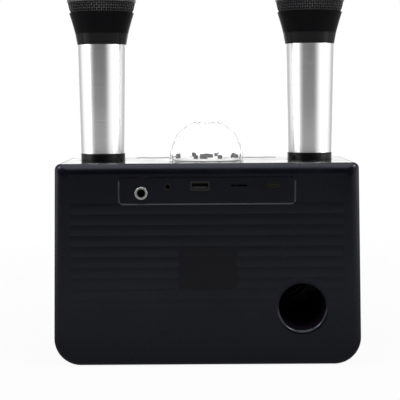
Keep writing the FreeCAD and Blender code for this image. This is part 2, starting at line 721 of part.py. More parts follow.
def socket_windows():
    """The holes in the connector recess that the sockets' noses come through."""
    low, high = REAR_WALL_INSIDE - OVERSHOOT, Y_REAR
    gap = SOCKET_CLEARANCE
    card_z = CABINET_TOP - CARD_BELOW_TOP
    card = rectangle(CARD_X, card_z, CARD_SLOT_WIDTH + 2 * gap, CARD_SLOT_HEIGHT + 2 * gap)
    usb = rectangle(USB_X, USB_Z, USB_WIDTH + 2 * gap, USB_HEIGHT + 2 * gap)
    charge_z = CABINET_TOP - CHARGE_BELOW_TOP
    charge = rectangle(CHARGE_X, charge_z, CHARGE_WIDTH + 2 * gap, CHARGE_HEIGHT + 2 * gap)
    return [
        rod_y(JACK_X, CABINET_TOP - JACK_BELOW_TOP, JACK_BUSH_RADIUS + gap, low, high),
        rod_y(AUX_X, CABINET_TOP - AUX_BELOW_TOP, AUX_NOSE_RADIUS + gap, low, high),
        plate_xz(usb, [USB_SHEET] * 4, low, high),
        plate_xz(card, [CARD_SLOT_HEIGHT / 4] * 4, low, high),
        plate_xz(charge, [CHARGE_HEIGHT / 2] * 4, low, high),
        rod_y(LIGHT_X, CABINET_TOP - CHARGE_BELOW_TOP, LIGHT_RADIUS + gap, low, high),
    ]


def io_rail_places():
    middle = (AUX_X + CHARGE_X) / 2
    return [middle - IO_RAIL_SPACING / 2, middle + IO_RAIL_SPACING / 2]


def io_screw_y():
    return IO_BOARD_REAR - IO_BOARD_DEPTH + IO_RAIL_WIDTH / 2


def main_board_posts():
    reach_x = MAIN_BOARD_WIDTH / 2 - MAIN_BOARD_POST_INSET
    reach_y = MAIN_BOARD_DEPTH / 2 - MAIN_BOARD_POST_INSET
    return [(MAIN_BOARD_X + x, MAIN_BOARD_Y + y) for x in (-reach_x, reach_x) for y in (-reach_y, reach_y)]


def battery_cradle():
    """Two low walls on the cabinet floor that hold the battery pack between them."""
    gap = CRADLE_CLEARANCE
    low, high = BATTERY_X - CELL_LENGTH / 2, BATTERY_X + CELL_LENGTH / 2
    walls = []
    for y in (BATTERY_Y - PACK_DEPTH / 2 - gap - CRADLE_WALL, BATTERY_Y + PACK_DEPTH / 2 + gap):
        walls.append(block(low, high, y, y + CRADLE_WALL, FLOOR_TOP - CRADLE_WALL / 2, FLOOR_TOP + CRADLE_HEIGHT))
    return walls


def rear_shell():
    solid = outside_solid().common(block(-500, 500, SEAM_Y, Y_REAR + OVERSHOOT, -OVERSHOOT, 500))
    solid = solid.cut(cavity_prism(0, SEAM_Y - OVERSHOOT, REAR_WALL_INSIDE))
    inside = cabinet_prism(CABINET_WALL / 2, SEAM_Y, REAR_WALL_INSIDE + CABINET_WALL / 4)
    extras = [rod_y(x, z, POST_RADIUS, SEAM_Y, Y_REAR).common(inside) for x, z in post_places()]
    for x in io_rail_places():
        half = IO_RAIL_WIDTH / 2
        front = IO_BOARD_REAR - IO_BOARD_DEPTH
        top = IO_BOARD_BOTTOM
        extras.append(block(x - half, x + half, front, REAR_WALL_INSIDE + IO_BOARD_GAP, top - IO_RAIL_HEIGHT, top))
    for x, y in main_board_posts():
        extras.append(rod_z(x, y, MAIN_BOARD_POST_RADIUS, FLOOR_TOP - CABINET_WALL / 2, MAIN_BOARD_BOTTOM))
    solid = joined([solid, seam_lip(), *extras, *battery_cradle()])
    cuts = [deck_opening(), seam_groove(), rib_cutter(), io_recess(), port_mouth(), *socket_windows(), *foot_pockets()]
    cuts.append(label_plate(SOCKET_CLEARANCE, Y_REAR - LABEL_SETBACK - LABEL_THICKNESS, Y_REAR + OVERSHOOT))
    pilot = SCREW_SHANK_RADIUS + SCREW_CLEARANCE
    for x, z in post_places():
        cuts.append(rod_y(x, z, pilot, SEAM_Y - OVERSHOOT, SEAM_Y + SCREW_BITE + OVERSHOOT))
    for x in io_rail_places():
        cuts.append(rod_z(x, io_screw_y(), pilot, IO_BOARD_BOTTOM - IO_RAIL_HEIGHT - OVERSHOOT, IO_BOARD_TOP))
    for x, y in main_board_posts():
        cuts.append(rod_z(x, y, pilot, MAIN_BOARD_BOTTOM - BOARD_SCREW_BITE - OVERSHOOT, MAIN_BOARD_TOP))
    return solid.cut(cuts)


def foot_places():
    x = CABINET_BOTTOM_WIDTH / 2 - FOOT_FROM_SIDE
    y = CABINET_DEPTH / 2 - FOOT_FROM_END
    return [(-x, -y), (x, -y), (x, y), (-x, y)]


def foot_pockets():
    top = FOOT_THICKNESS
    return [rod_z(x, y, FOOT_RADIUS + DECK_CLEARANCE, -OVERSHOOT, top) for x, y in foot_places()]


def rubber_feet():
    feet = []
    for x, y in foot_places():
        foot = rod_z(x, y, FOOT_RADIUS, 0, FOOT_THICKNESS)
        feet.append(foot.makeFillet(FOOT_PROTRUSION / 2, edges_at(foot, "Z", 0)))
    return Part.makeCompound(feet)


def front_grille():
    """A shallow pan of sheet metal whose edge is turned back on to the front wall."""
    inset = GRILLE_RIM + GRILLE_CLEARANCE
    face = Y_FRONT + GRILLE_SETBACK
    pan = cabinet_prism(inset, face, FRONT_WALL_FACE)
    pan = pan.makeFillet(GRILLE_SHEET * 1.4, edges_at(pan, "Y", face))
    return pan.cut(cabinet_prism(inset + GRILLE_SHEET, face + GRILLE_SHEET, FRONT_WALL_FACE + OVERSHOOT))


def case_screws():
    """Four long screws whose heads sit under the grille and whose ends bite in the rear posts."""
    screws = []
    head_face = FRONT_WALL_FACE - SCREW_HEAD_HEIGHT
    for x, z in post_places():
        head = rod_y(x, z, SCREW_HEAD_RADIUS, head_face, FRONT_WALL_FACE)
        head = head.makeFillet(SCREW_HEAD_HEIGHT / 3, edges_at(head, "Y", head_face))
        shank = rod_y(x, z, SCREW_SHANK_RADIUS, FRONT_WALL_FACE, SEAM_Y + SCREW_BITE)
        screw = joined([head, shank])
        slots = cross_slots(x, z, head_face - OVERSHOOT, head_face + CROSS_SLOT_DEPTH, SCREW_HEAD_RADIUS)
        screws.append(screw.cut(slots))
    return Part.makeCompound(screws)


def rating_label():
    face = Y_REAR - LABEL_SETBACK
    return label_plate(0, face - LABEL_THICKNESS, face)


def bass_port_tube():
    length = PORT_LENGTH
    outer = PORT_RADIUS + PORT_WALL
    tube = turned(
        [
            (PORT_RADIUS, 0),
            (outer, 0),
            (outer, length - PORT_FLANGE_THICKNESS),
            (PORT_FLANGE_RADIUS, length - PORT_FLANGE_THICKNESS),
            (PORT_FLANGE_RADIUS, length),
            (PORT_RADIUS, length),
        ]
    )
    return facing_back(tube, port_x(), REAR_WALL_INSIDE - length, PORT_Z)


# Drivers


def speaker_basket(x):
    """A pressed basket: flange, six-windowed cone and a back plate that carries the magnet."""
    flange_back = SPEAKER_FLANGE_THICKNESS
    mouth = SURROUND_RADIUS - SURROUND_LIP
    back = BASKET_DEPTH
    foot = MAGNET_RADIUS
    bore = COIL_RADIUS + COIL_WALL + COIL_GAP
    body = turned(
        [
            (mouth, 0),
            (SPEAKER_FLANGE_RADIUS, 0),
            (SPEAKER_FLANGE_RADIUS, flange_back),
            (mouth + BASKET_SHEET, flange_back),
            (foot, back),
            (bore, back),
            (bore, back - BASKET_SHEET),
            (foot - BASKET_SHEET, back - BASKET_SHEET),
            (mouth, flange_back),
        ]
    )
    windows = []
    for index in range(BASKET_WINDOWS):
        low = flange_back + 3 * BASKET_SHEET
        high = back - 3 * BASKET_SHEET
        window = block(MAGNET_RADIUS / 2, SPEAKER_FLANGE_RADIUS, -BASKET_WINDOW_WIDTH / 2, BASKET_WINDOW_WIDTH / 2, low, high)
        window.rotate(vector(0, 0, 0), UP, index * 360 / BASKET_WINDOWS)
        windows.append(window)
    body = facing_back(body.cut(windows), x, FRONT_WALL_BACK, SPEAKER_HEIGHT)
    holes = []
    for screw_x, screw_z in speaker_screw_places(x):
        radius = SCREW_SHANK_RADIUS + SCREW_CLEARANCE
        holes.append(rod_y(screw_x, screw_z, radius, FRONT_WALL_FACE, FRONT_WALL_BACK + flange_back + OVERSHOOT))
    return body.cut(holes)


def speaker_magnet(x):
    """Top plate, ring magnet and yoke, with the round gap that the voice coil moves in."""
    inner = COIL_RADIUS - COIL_GAP
    outer = COIL_RADIUS + COIL_WALL + COIL_GAP
    depth = TOP_PLATE_THICKNESS + MAGNET_DEPTH + YOKE_THICKNESS
    gap_floor = TOP_PLATE_THICKNESS + MAGNET_DEPTH
    plate_edge = MAGNET_RADIUS - TOP_PLATE_THICKNESS / 2
    body = turned(
        [
            (outer, 0),
            (plate_edge, 0),
            (plate_edge, TOP_PLATE_THICKNESS),
            (MAGNET_RADIUS, TOP_PLATE_THICKNESS),
            (MAGNET_RADIUS, gap_floor),
            (plate_edge, gap_floor),
            (plate_edge, depth),
            (0, depth),
            (0, 0),
            (inner, 0),
            (inner, gap_floor),
            (outer, gap_floor),
        ]
    )
    return facing_back(body, x, BASKET_BACK, SPEAKER_HEIGHT)


def speaker_cone(x):
    """The paper cone with its voice coil former, and the dust cap glued over the middle."""
    coil_outer = COIL_RADIUS + COIL_WALL
    end = BASKET_DEPTH + COIL_REACH
    slope = (CONE_RADIUS - coil_outer) / CONE_DEPTH
    cone = turned(
        [
            (CONE_RADIUS, 0),
            (CONE_RADIUS, CONE_SHEET),
            (coil_outer, CONE_DEPTH),
            (coil_outer, end),
            (COIL_RADIUS, end),
            (COIL_RADIUS, CONE_DEPTH - CONE_SHEET),
            (CONE_RADIUS - 2 * CONE_SHEET, 0),
        ]
    )
    cap_seat = (CONE_RADIUS - 2 * CONE_SHEET - DUST_CAP_RADIUS) / slope - DUST_CAP_SHEET
    ring = DUST_CAP_RADIUS - DUST_CAP_SHEET
    inner_rise = DUST_CAP_RISE - DUST_CAP_SHEET
    cap = turned(
        [
            (DUST_CAP_RADIUS, cap_seat),
            (ball_middle(DUST_CAP_RADIUS, cap_seat, -DUST_CAP_RISE), (0, cap_seat - DUST_CAP_RISE)),
            (0, cap_seat - inner_rise),
            (ball_middle(ring, cap_seat, -inner_rise), (ring, cap_seat)),
        ]
    )
    return Part.makeCompound([facing_back(part, x, FRONT_WALL_BACK, SPEAKER_HEIGHT) for part in (cone, cap)])


def speaker_surround(x):
    """The rubber half roll, glued by a flat lip on the cone's edge and another on the basket's flange."""
    inner, outer = CONE_RADIUS, SURROUND_RADIUS - SURROUND_LIP
    middle, radius = (inner + outer) / 2, (outer - inner) / 2
    sheet = SURROUND_SHEET
    roll = turned(
        [
            (inner - SURROUND_LIP, 0),
            (inner, 0),
            ((middle, -radius), (outer, 0)),
            (SURROUND_RADIUS, 0),
            (SURROUND_RADIUS, -sheet),
            (outer + sheet * 0.7, -sheet),
            ((middle, -radius - sheet), (inner - sheet * 0.7, -sheet)),
            (inner - SURROUND_LIP, -sheet),
        ]
    )
    return facing_back(roll, x, FRONT_WALL_BACK, SPEAKER_HEIGHT)


def inner_screws():
    """Short screws inside the cabinet: four on each driver, two on the socket board, four on the main board."""
    screws = []
    for x in speaker_places().values():
        seat = FRONT_WALL_BACK + SPEAKER_FLANGE_THICKNESS
        for screw_x, screw_z in speaker_screw_places(x):
            head = rod_y(screw_x, screw_z, SCREW_HEAD_RADIUS, seat, seat + SCREW_HEAD_HEIGHT)
            shank = rod_y(screw_x, screw_z, SCREW_SHANK_RADIUS, FRONT_WALL_BACK - SPEAKER_SCREW_BITE, seat)
            screws.append(joined([head, shank]))
    board_places = [(x, io_screw_y(), IO_BOARD_TOP, IO_RAIL_HEIGHT) for x in io_rail_places()]
    board_places += [(x, y, MAIN_BOARD_TOP, BOARD_SCREW_BITE) for x, y in main_board_posts()]
    for x, y, seat, bite in board_places:
        head = rod_z(x, y, SCREW_HEAD_RADIUS, seat, seat + SCREW_HEAD_HEIGHT)
        shank = rod_z(x, y, SCREW_SHANK_RADIUS, seat - BOARD_THICKNESS - bite, seat)
        screws.append(joined([head, shank]))
    return Part.makeCompound(screws)


# Boards, battery and sockets


def main_board():
    half_x, half_y = MAIN_BOARD_WIDTH / 2, MAIN_BOARD_DEPTH / 2
    board = block(
        MAIN_BOARD_X - half_x, MAIN_BOARD_X + half_x,
        MAIN_BOARD_Y - half_y, MAIN_BOARD_Y + half_y,
        MAIN_BOARD_BOTTOM, MAIN_BOARD_TOP,
    )
    radius = SCREW_SHANK_RADIUS + SCREW_CLEARANCE
    return board.cut([rod_z(x, y, radius, FLOOR_TOP, MAIN_BOARD_TOP + OVERSHOOT) for x, y in main_board_posts()])


def main_board_parts():
    """The amplifier chip, its finned heat sink and a row of capacitors."""
    def seated(size, x, y):
        width, depth, height = size
        return block(x - width / 2, x + width / 2, y - depth / 2, y + depth / 2, MAIN_BOARD_TOP, MAIN_BOARD_TOP + height)

    sink_x = MAIN_BOARD_X - MAIN_BOARD_WIDTH / 4
    sink = seated(HEAT_SINK, sink_x, MAIN_BOARD_Y)
    fin_pitch = HEAT_SINK[0] / 6
    base_height = HEAT_SINK[2] / 4
    for index in range(5):
        slot_x = sink_x - HEAT_SINK[0] / 2 + (index + 1) * fin_pitch
        quarter = fin_pitch / 4
        sink = sink.cut(
            block(
                slot_x - quarter, slot_x + quarter,
                MAIN_BOARD_Y - HEAT_SINK[1], MAIN_BOARD_Y + HEAT_SINK[1],
                MAIN_BOARD_TOP + base_height, MAIN_BOARD_TOP + HEAT_SINK[2] + OVERSHOOT,
            )
        )
    chip = seated(AMP_CHIP, MAIN_BOARD_X + MAIN_BOARD_WIDTH / 4, MAIN_BOARD_Y + MAIN_BOARD_DEPTH / 5)
    capacitors = []
    for index in (-1, 0, 1):
        x = MAIN_BOARD_X + MAIN_BOARD_WIDTH / 4 + index * 2.4 * CAPACITOR_RADIUS * 0.9
        y = MAIN_BOARD_Y - MAIN_BOARD_DEPTH / 5
        capacitors.append(rod_z(x, y, CAPACITOR_RADIUS, MAIN_BOARD_TOP, MAIN_BOARD_TOP + CAPACITOR_HEIGHT))
    return Part.makeCompound([sink, chip, *capacitors])


def io_board():
    low = CHARGE_X - IO_BOARD_MARGIN
    high = AUX_X + IO_BOARD_MARGIN
    board = block(low, high, IO_BOARD_REAR - IO_BOARD_DEPTH, IO_BOARD_REAR, IO_BOARD_BOTTOM, IO_BOARD_TOP)
    radius = SCREW_SHANK_RADIUS + SCREW_CLEARANCE
    holes = [rod_z(x, io_screw_y(), radius, FLOOR_TOP, CABINET_TOP) for x in io_rail_places()]
    return board.cut(holes)


def battery_pack():
    """Cells side by side in one shrink sleeve, lying on the cabinet floor."""
    outline = rectangle(BATTERY_Y, FLOOR_TOP + CELL_RADIUS, PACK_DEPTH, 2 * CELL_RADIUS)
    low = BATTERY_X - CELL_LENGTH / 2
    wire = rounded_wire(outline, [CELL_RADIUS * 0.98] * 4, lambda p: vector(low, p.x, p.y))
    return Part.Face(wire).extrude(vector(CELL_LENGTH, 0, 0))


def guitar_jack_socket():
    """The 6.35 mm socket: a moulded housing behind the wall and a bush through it."""
    z = CABINET_TOP - JACK_BELOW_TOP
    housing_front = REAR_WALL_INSIDE - JACK_HOUSING_LENGTH
    housing = rod_y(JACK_X, z, JACK_HOUSING_RADIUS, housing_front, REAR_WALL_INSIDE)
    bush = rod_y(JACK_X, z, JACK_BUSH_RADIUS, REAR_WALL_INSIDE - OVERSHOOT, IO_FACE + JACK_NUT_THICKNESS)
    bore = rod_y(JACK_X, z, JACK_BORE_RADIUS, housing_front + JACK_END_WALL, Y_REAR + OVERSHOOT)
    return joined([housing, bush]).cut(bore)


def guitar_jack_nut():
    """The bright ring nut that draws the bush against the wall."""
    z = CABINET_TOP - JACK_BELOW_TOP
    nut = rod_y(JACK_X, z, JACK_NUT_RADIUS, IO_FACE, IO_FACE + JACK_NUT_THICKNESS)
    nut = nut.makeFillet(JACK_NUT_THICKNESS / 3, edges_at(nut, "Y", IO_FACE + JACK_NUT_THICKNESS))
    return nut.cut(rod_y(JACK_X, z, JACK_BUSH_RADIUS + SCREW_CLEARANCE, IO_FACE - OVERSHOOT, Y_REAR + OVERSHOOT))


def aux_jack():
    z = CABINET_TOP - AUX_BELOW_TOP
    half = AUX_WIDTH / 2
    rear = IO_BOARD_REAR
    height = 2 * (z - IO_BOARD_TOP)
    body = block(AUX_X - half, AUX_X + half, rear - AUX_LENGTH, rear, IO_BOARD_TOP, IO_BOARD_TOP + height)
    nose = rod_y(AUX_X, z, AUX_NOSE_RADIUS, rear - OVERSHOOT, IO_FACE)
    bore = rod_y(AUX_X, z, AUX_BORE_RADIUS, rear - AUX_LENGTH + JACK_END_WALL, Y_REAR)
    nose_room = nose.common(block(AUX_X - half, AUX_X + half, rear, Y_REAR, FLOOR_TOP, CABINET_TOP))
    return joined([body, nose_room]).cut(bore)


def usb_socket():
    """A folded steel shell with a flared face and the plastic tongue inside."""
    face = IO_FACE + USB_SHEET
    low = face - USB_LENGTH
    shell = plate_xz(rectangle(USB_X, USB_Z, USB_WIDTH, USB_HEIGHT), [USB_SHEET] * 4, low, face)
    flare = rectangle(USB_X, USB_Z, USB_WIDTH + 2 * USB_FLARE, USB_HEIGHT + 2 * USB_FLARE)
    shell = joined([shell, plate_xz(flare, [USB_FLARE] * 4, IO_FACE, face)])
    pocket_width, pocket_height = USB_WIDTH - 2 * USB_SHEET, USB_HEIGHT - 2 * USB_SHEET
    pocket_low = face - USB_POCKET_DEPTH
    pocket = plate_xz(
        rectangle(USB_X, USB_Z, pocket_width, pocket_height), [USB_SHEET / 2] * 4, pocket_low, face + OVERSHOOT
    )
    tongue_top = USB_Z - USB_SHEET
    half = pocket_width / 2 - USB_SHEET
    tongue = block(
        USB_X - half, USB_X + half, pocket_low - OVERSHOOT, face - 2 * USB_SHEET,
        tongue_top - USB_TONGUE_HEIGHT, tongue_top,
    )
    return joined([shell.cut(pocket), tongue])


def card_slot():
    """The memory card holder on the socket board; its mouth is the slot in the recess."""
    z = CABINET_TOP - CARD_BELOW_TOP
    half = CARD_WIDTH / 2
    rear = IO_BOARD_REAR
    top = z + CARD_SLOT_HEIGHT / 2 + CARD_COVER
    body = block(CARD_X - half, CARD_X + half, rear - CARD_LENGTH, rear, IO_BOARD_TOP, top)
    mouth = rectangle(CARD_X, z, CARD_SLOT_WIDTH, CARD_SLOT_HEIGHT)
    return body.cut(plate_xz(mouth, [CARD_SLOT_HEIGHT / 4] * 4, rear - CARD_SLOT_DEPTH, Y_REAR))


def charge_socket():
    z = CABINET_TOP - CHARGE_BELOW_TOP
    face = IO_FACE
    low = face - CHARGE_LENGTH
    outline = rectangle(CHARGE_X, z, CHARGE_WIDTH, CHARGE_HEIGHT)
    round_end = CHARGE_HEIGHT * 0.49
    shell = plate_xz(outline, [round_end] * 4, low, face)
    pocket_height = CHARGE_HEIGHT - 2 * CHARGE_SHEET
    pocket = plate_xz(
        rectangle(CHARGE_X, z, CHARGE_WIDTH - 2 * CHARGE_SHEET, pocket_height),
        [pocket_height * 0.49] * 4,
        face - CHARGE_POCKET_DEPTH,
        face + OVERSHOOT,
    )
    half = CHARGE_WIDTH / 2 - 3 * CHARGE_SHEET
    tongue = block(
        CHARGE_X - half, CHARGE_X + half, face - CHARGE_POCKET_DEPTH - OVERSHOOT, face - CHARGE_SHEET,
        z - CHARGE_TONGUE_HEIGHT / 2, z + CHARGE_TONGUE_HEIGHT / 2,
    )
    leg = CHARGE_WIDTH / 2 - CHARGE_HEIGHT / 2
    foot = block(CHARGE_X - leg, CHARGE_X + leg, low, IO_BOARD_REAR - SOCKET_CLEARANCE, IO_BOARD_TOP, z - pocket_height / 2)
    return joined([shell.cut(pocket), tongue, foot.cut(pocket)])


def charge_light():
    """A light pipe that stands on the socket board and looks out through the wall."""
    z = CABINET_TOP - CHARGE_BELOW_TOP
    rear = IO_BOARD_REAR - SOCKET_CLEARANCE
    pipe = rod_y(LIGHT_X, z, LIGHT_RADIUS, rear - 3 * LIGHT_RADIUS, IO_FACE)
    foot = block(
        LIGHT_X - LIGHT_RADIUS, LIGHT_X + LIGHT_RADIUS, rear - 3 * LIGHT_RADIUS, rear - LIGHT_RADIUS, IO_BOARD_TOP, z
    )
    return joined([pipe, foot])


# Top deck and buttons


def button_places():
    first = -BUTTON_PITCH * (len(BUTTON_NAMES) - 1) / 2
    return {name: first + index * BUTTON_PITCH for index, name in enumerate(BUTTON_NAMES)}


def control_post_places():
    reach = CONTROL_BOARD_WIDTH / 2 - CONTROL_POST_INSET
    return [-reach, reach]


def mic_places():
    return {"left": -MIC_X, "right": MIC_X}


def top_deck():
    deck = plate_xy(rectangle(0, 0, DECK_WIDTH, DECK_DEPTH), [DECK_CORNER_RADIUS] * 4, DECK_BOTTOM, CABINET_TOP)
    strip = plate_xy(
        rectangle(0, BUTTON_Y, BUTTON_STRIP_WIDTH, BUTTON_STRIP_DEPTH),
        [BUTTON_CORNER_RADIUS] * 4,
        CABINET_TOP - BUTTON_STRIP_SINK,
        CABINET_TOP + OVERSHOOT,
    )
    cuts = [strip, rod_z(0, DOME_Y, DOME_HOLE_RADIUS, DECK_BOTTOM - OVERSHOOT, CABINET_TOP + OVERSHOOT)]
    for x in mic_places().values():
        cuts.append(rod_z(x, MIC_Y, WELL_BORE_RADIUS, DECK_BOTTOM - OVERSHOOT, CABINET_TOP + OVERSHOOT))
        cone = Part.makeCone(
            WELL_BORE_RADIUS, WELL_BORE_RADIUS + 2 * WELL_MOUTH_CHAMFER, 2 * WELL_MOUTH_CHAMFER,
            vector(x, MIC_Y, CABINET_TOP - WELL_MOUTH_CHAMFER), UP,
        )
        cuts.append(cone)
    for x in button_places().values():
        hole = rectangle(x, BUTTON_Y, BUTTON_WIDTH + 2 * BUTTON_CLEARANCE, BUTTON_DEPTH + 2 * BUTTON_CLEARANCE)
        radius = BUTTON_CORNER_RADIUS + BUTTON_CLEARANCE
        cuts.append(plate_xy(hole, [radius] * 4, DECK_BOTTOM - OVERSHOOT, CABINET_TOP + OVERSHOOT))
    posts = [
        rod_z(x, BUTTON_Y, CONTROL_POST_RADIUS, CONTROL_BOARD_TOP, DECK_BOTTOM + DECK_THICKNESS / 2)
        for x in control_post_places()
    ]
    return joined([deck.cut(cuts), *posts])


def button(x):
    """A pill-shaped cap, the flange that keeps it in the deck and the stem that works its switch."""
    cap_low = DECK_BOTTOM - BUTTON_FLANGE_GAP
    cap_top = CABINET_TOP + BUTTON_PROUD
    outline = rectangle(x, BUTTON_Y, BUTTON_WIDTH, BUTTON_DEPTH)
    cap = plate_xy(outline, [BUTTON_CORNER_RADIUS] * 4, cap_low - BUTTON_FLANGE_THICKNESS, cap_top)
    cap = cap.makeFillet(BUTTON_EDGE_ROUND, edges_at(cap, "Z", cap_top))
    wide = rectangle(x, BUTTON_Y, BUTTON_WIDTH + 2 * BUTTON_FLANGE, BUTTON_DEPTH + 2 * BUTTON_FLANGE)
    flange = plate_xy(wide, [BUTTON_CORNER_RADIUS] * 4, cap_low - BUTTON_FLANGE_THICKNESS, cap_low)
    stem_low = SWITCH_TOP - SWITCH_ENGAGEMENT
    stem = rod_z(x, BUTTON_Y, BUTTON_STEM_RADIUS, stem_low, cap_low)
    return joined([cap, flange, stem])


def control_board():
    half_x, half_y = CONTROL_BOARD_WIDTH / 2, CONTROL_BOARD_DEPTH / 2
    return block(
        -half_x, half_x, BUTTON_Y - half_y, BUTTON_Y + half_y, CONTROL_BOARD_TOP - BOARD_THICKNESS, CONTROL_BOARD_TOP
    )


def switch_body(x):
    half = SWITCH_SIZE / 2
    body = block(x - half, x + half, BUTTON_Y - half, BUTTON_Y + half, CONTROL_BOARD_TOP, SWITCH_TOP)
    return body.cut(rod_z(x, BUTTON_Y, SWITCH_BORE_RADIUS, SWITCH_TOP - SWITCH_BORE_DEPTH, SWITCH_TOP + OVERSHOOT))


def push_switches():
    return Part.makeCompound([switch_body(x) for x in button_places().values()])


# Light dome


def dome_ring(radius, angle, height, twist):
    """Points of one row of the dome's facets, at an angle above its foot."""
    points = []
    for index in range(DOME_FACETS):
        turn = 2 * math.pi * (index + twist) / DOME_FACETS
        flat = radius * math.cos(angle)
        points.append(vector(flat * math.cos(turn), flat * math.sin(turn), height + radius * math.sin(angle)))
    return points


def facet(points):
    return Part.Face(Part.makePolygon([*points, points[0]]))


def disco_dome():
    """A clear faceted dome: an upright band of facets, rows of triangles above it and a flat crown."""
    faces = []
    foot = dome_ring(DOME_RADIUS, 0, 0, 0)
    rings = [dome_ring(DOME_RADIUS, 0, DOME_BAND, 0)]
    for row, angle in enumerate(DOME_ROW_ANGLES[1:], start=1):
        rings.append(dome_ring(DOME_RADIUS, math.radians(angle), DOME_BAND, 0.5 * (row % 2)))
    faces.append(facet(foot))
    faces.append(facet(rings[-1]))
    for index in range(DOME_FACETS):
        after = (index + 1) % DOME_FACETS
        faces.append(facet([foot[index], foot[after], rings[0][after], rings[0][index]]))
        for row in range(len(rings) - 1):
            low, high = rings[row], rings[row + 1]
            if row % 2 == 0:
                faces.append(facet([low[index], low[after], high[index]]))
                faces.append(facet([high[index], low[after], high[after]]))
            else:
                faces.append(facet([low[index], high[after], high[index]]))
                faces.append(facet([low[index], low[after], high[after]]))
    solid = Part.Solid(Part.Shell(faces))
    if solid.Volume < 0:
        solid.reverse()
    inner = DOME_RADIUS - DOME_WALL
    turn = math.sqrt(0.5)
    hollow = turned(
        [
            (0, -OVERSHOOT),
            (inner, -OVERSHOOT),
            (inner, DOME_BAND),
            ((inner * turn, DOME_BAND + inner * turn), (0, DOME_BAND + inner)),
        ]
    )
    return moved(solid.cut(hollow), 0, DOME_Y, DOME_FOOT)


def disco_hub():
    """The turntable: a hub on the motor shaft and spokes out to a ring inside the dome's foot."""
    ring_outer = DOME_RADIUS - DOME_WALL - HUB_CLEARANCE
    ring_inner = ring_outer - SPOKE_RING_WIDTH
    ring = turned(
        [(ring_inner, 0), (ring_outer, 0), (ring_outer, SPOKE_THICKNESS), (ring_inner, SPOKE_THICKNESS)]
    )
    hub = rod_z(0, 0, HUB_RADIUS, 0, HUB_HEIGHT)
    hub = hub.makeFillet(HUB_RADIUS / 8, edges_at(hub, "Z", HUB_HEIGHT))
    spokes = []
    for index in range(SPOKES):
        spoke = block(0, ring_inner + SPOKE_RING_WIDTH / 2, -SPOKE_WIDTH / 2, SPOKE_WIDTH / 2, 0, SPOKE_THICKNESS)
        spoke.rotate(vector(0, 0, 0), UP, index * 360 / SPOKES)
        spokes.append(spoke)
    shaft_low = MOTOR_TOP - MOTOR_LENGTH / 2 - DOME_FOOT
    shaft = rod_z(0, 0, SHAFT_RADIUS, shaft_low, SPOKE_THICKNESS)
    return moved(joined([ring, hub, *spokes, shaft]), 0, DOME_Y, DOME_FOOT)


def disco_light_cup():
    """The cup under the deck that carries the lamp board and the motor."""
    inner = DOME_HOLE_RADIUS
    outer = LIGHT_CUP_RADIUS
    flange = outer + LIGHT_CUP_FLANGE
    motor_hole = MOTOR_RADIUS + MOTOR_CLEARANCE
    depth = DECK_BOTTOM - LIGHT_CUP_BOTTOM
    flange_low = depth - LIGHT_CUP_WALL
    cup = turned(
        [
            (motor_hole, 0),
            (outer, 0),
            (outer, flange_low),
            (flange, flange_low),
            (flange, depth),
            (inner, depth),
            (inner, LIGHT_CUP_FLOOR),
            (motor_hole, LIGHT_CUP_FLOOR),
        ]
    )
    return moved(cup, 0, DOME_Y, LIGHT_CUP_BOTTOM)


def disco_light_board():
    inner = MOTOR_RADIUS + MOTOR_CLEARANCE
    outer = DOME_HOLE_RADIUS - MOTOR_CLEARANCE
    ring = turned([(inner, 0), (outer, 0), (outer, BOARD_THICKNESS), (inner, BOARD_THICKNESS)])
    return moved(ring, 0, DOME_Y, LIGHT_BOARD_BOTTOM)


def disco_lamps():
    """Lamps in a ring round the motor, each with a domed lens."""
    low = LIGHT_BOARD_BOTTOM + BOARD_THICKNESS
    turn = math.sqrt(0.5)
    shoulder = LED_HEIGHT - LED_RADIUS
    lamp = turned(
        [
            (0, 0),
            (LED_RADIUS, 0),
            (LED_RADIUS, shoulder),
            ((LED_RADIUS * turn, shoulder + LED_RADIUS * turn), (0, LED_HEIGHT)),
        ]
    )
    lamps = []
    for index in range(LED_COUNT):
        angle = 2 * math.pi * index / LED_COUNT
        lamps.append(moved(lamp, LED_CIRCLE * math.cos(angle), DOME_Y + LED_CIRCLE * math.sin(angle), low))
    return Part.makeCompound(lamps)


def disco_motor():
    """A small geared motor that hangs under the cup by its flange, with a bore for the shaft."""
    low = MOTOR_TOP - MOTOR_LENGTH
    body = rod_z(0, DOME_Y, MOTOR_RADIUS, low, MOTOR_TOP)
    flange = rod_z(0, DOME_Y, MOTOR_FLANGE_RADIUS, LIGHT_CUP_BOTTOM - MOTOR_FLANGE_THICKNESS, LIGHT_CUP_BOTTOM)
    bore = rod_z(0, DOME_Y, SHAFT_RADIUS + SHAFT_CLEARANCE, low + OVERSHOOT, MOTOR_TOP + OVERSHOOT)
    return joined([body, flange]).cut(bore)


# Microphones, drawn on their own axis and then set over their wells


def mic_well(x):
    """A cup under the deck that a microphone's tail stands in."""
    inner = WELL_BORE_RADIUS
    outer = inner + WELL_WALL
    flange = outer + WELL_FLANGE
    low = WELL_FLOOR_TOP - WELL_FLOOR
    depth = DECK_BOTTOM - low
    cup = turned(
        [
            (0, 0),
            (outer, 0),
            (outer, depth - WELL_FLANGE_THICKNESS),
            (flange, depth - WELL_FLANGE_THICKNESS),
            (flange, depth),
            (inner, depth),
            (inner, WELL_FLOOR),
            (0, WELL_FLOOR),
        ]
    )
    return moved(cup, x, MIC_Y, low)


def barrel_radius(z):
    share = (z - BARREL_FOOT) / BARREL_LENGTH
    return BARREL_BOTTOM_RADIUS + (BARREL_TOP_RADIUS - BARREL_BOTTOM_RADIUS) * share


def mic_button_z():
    return BARREL_FOOT + MIC_BUTTON_ABOVE_BARREL_FOOT


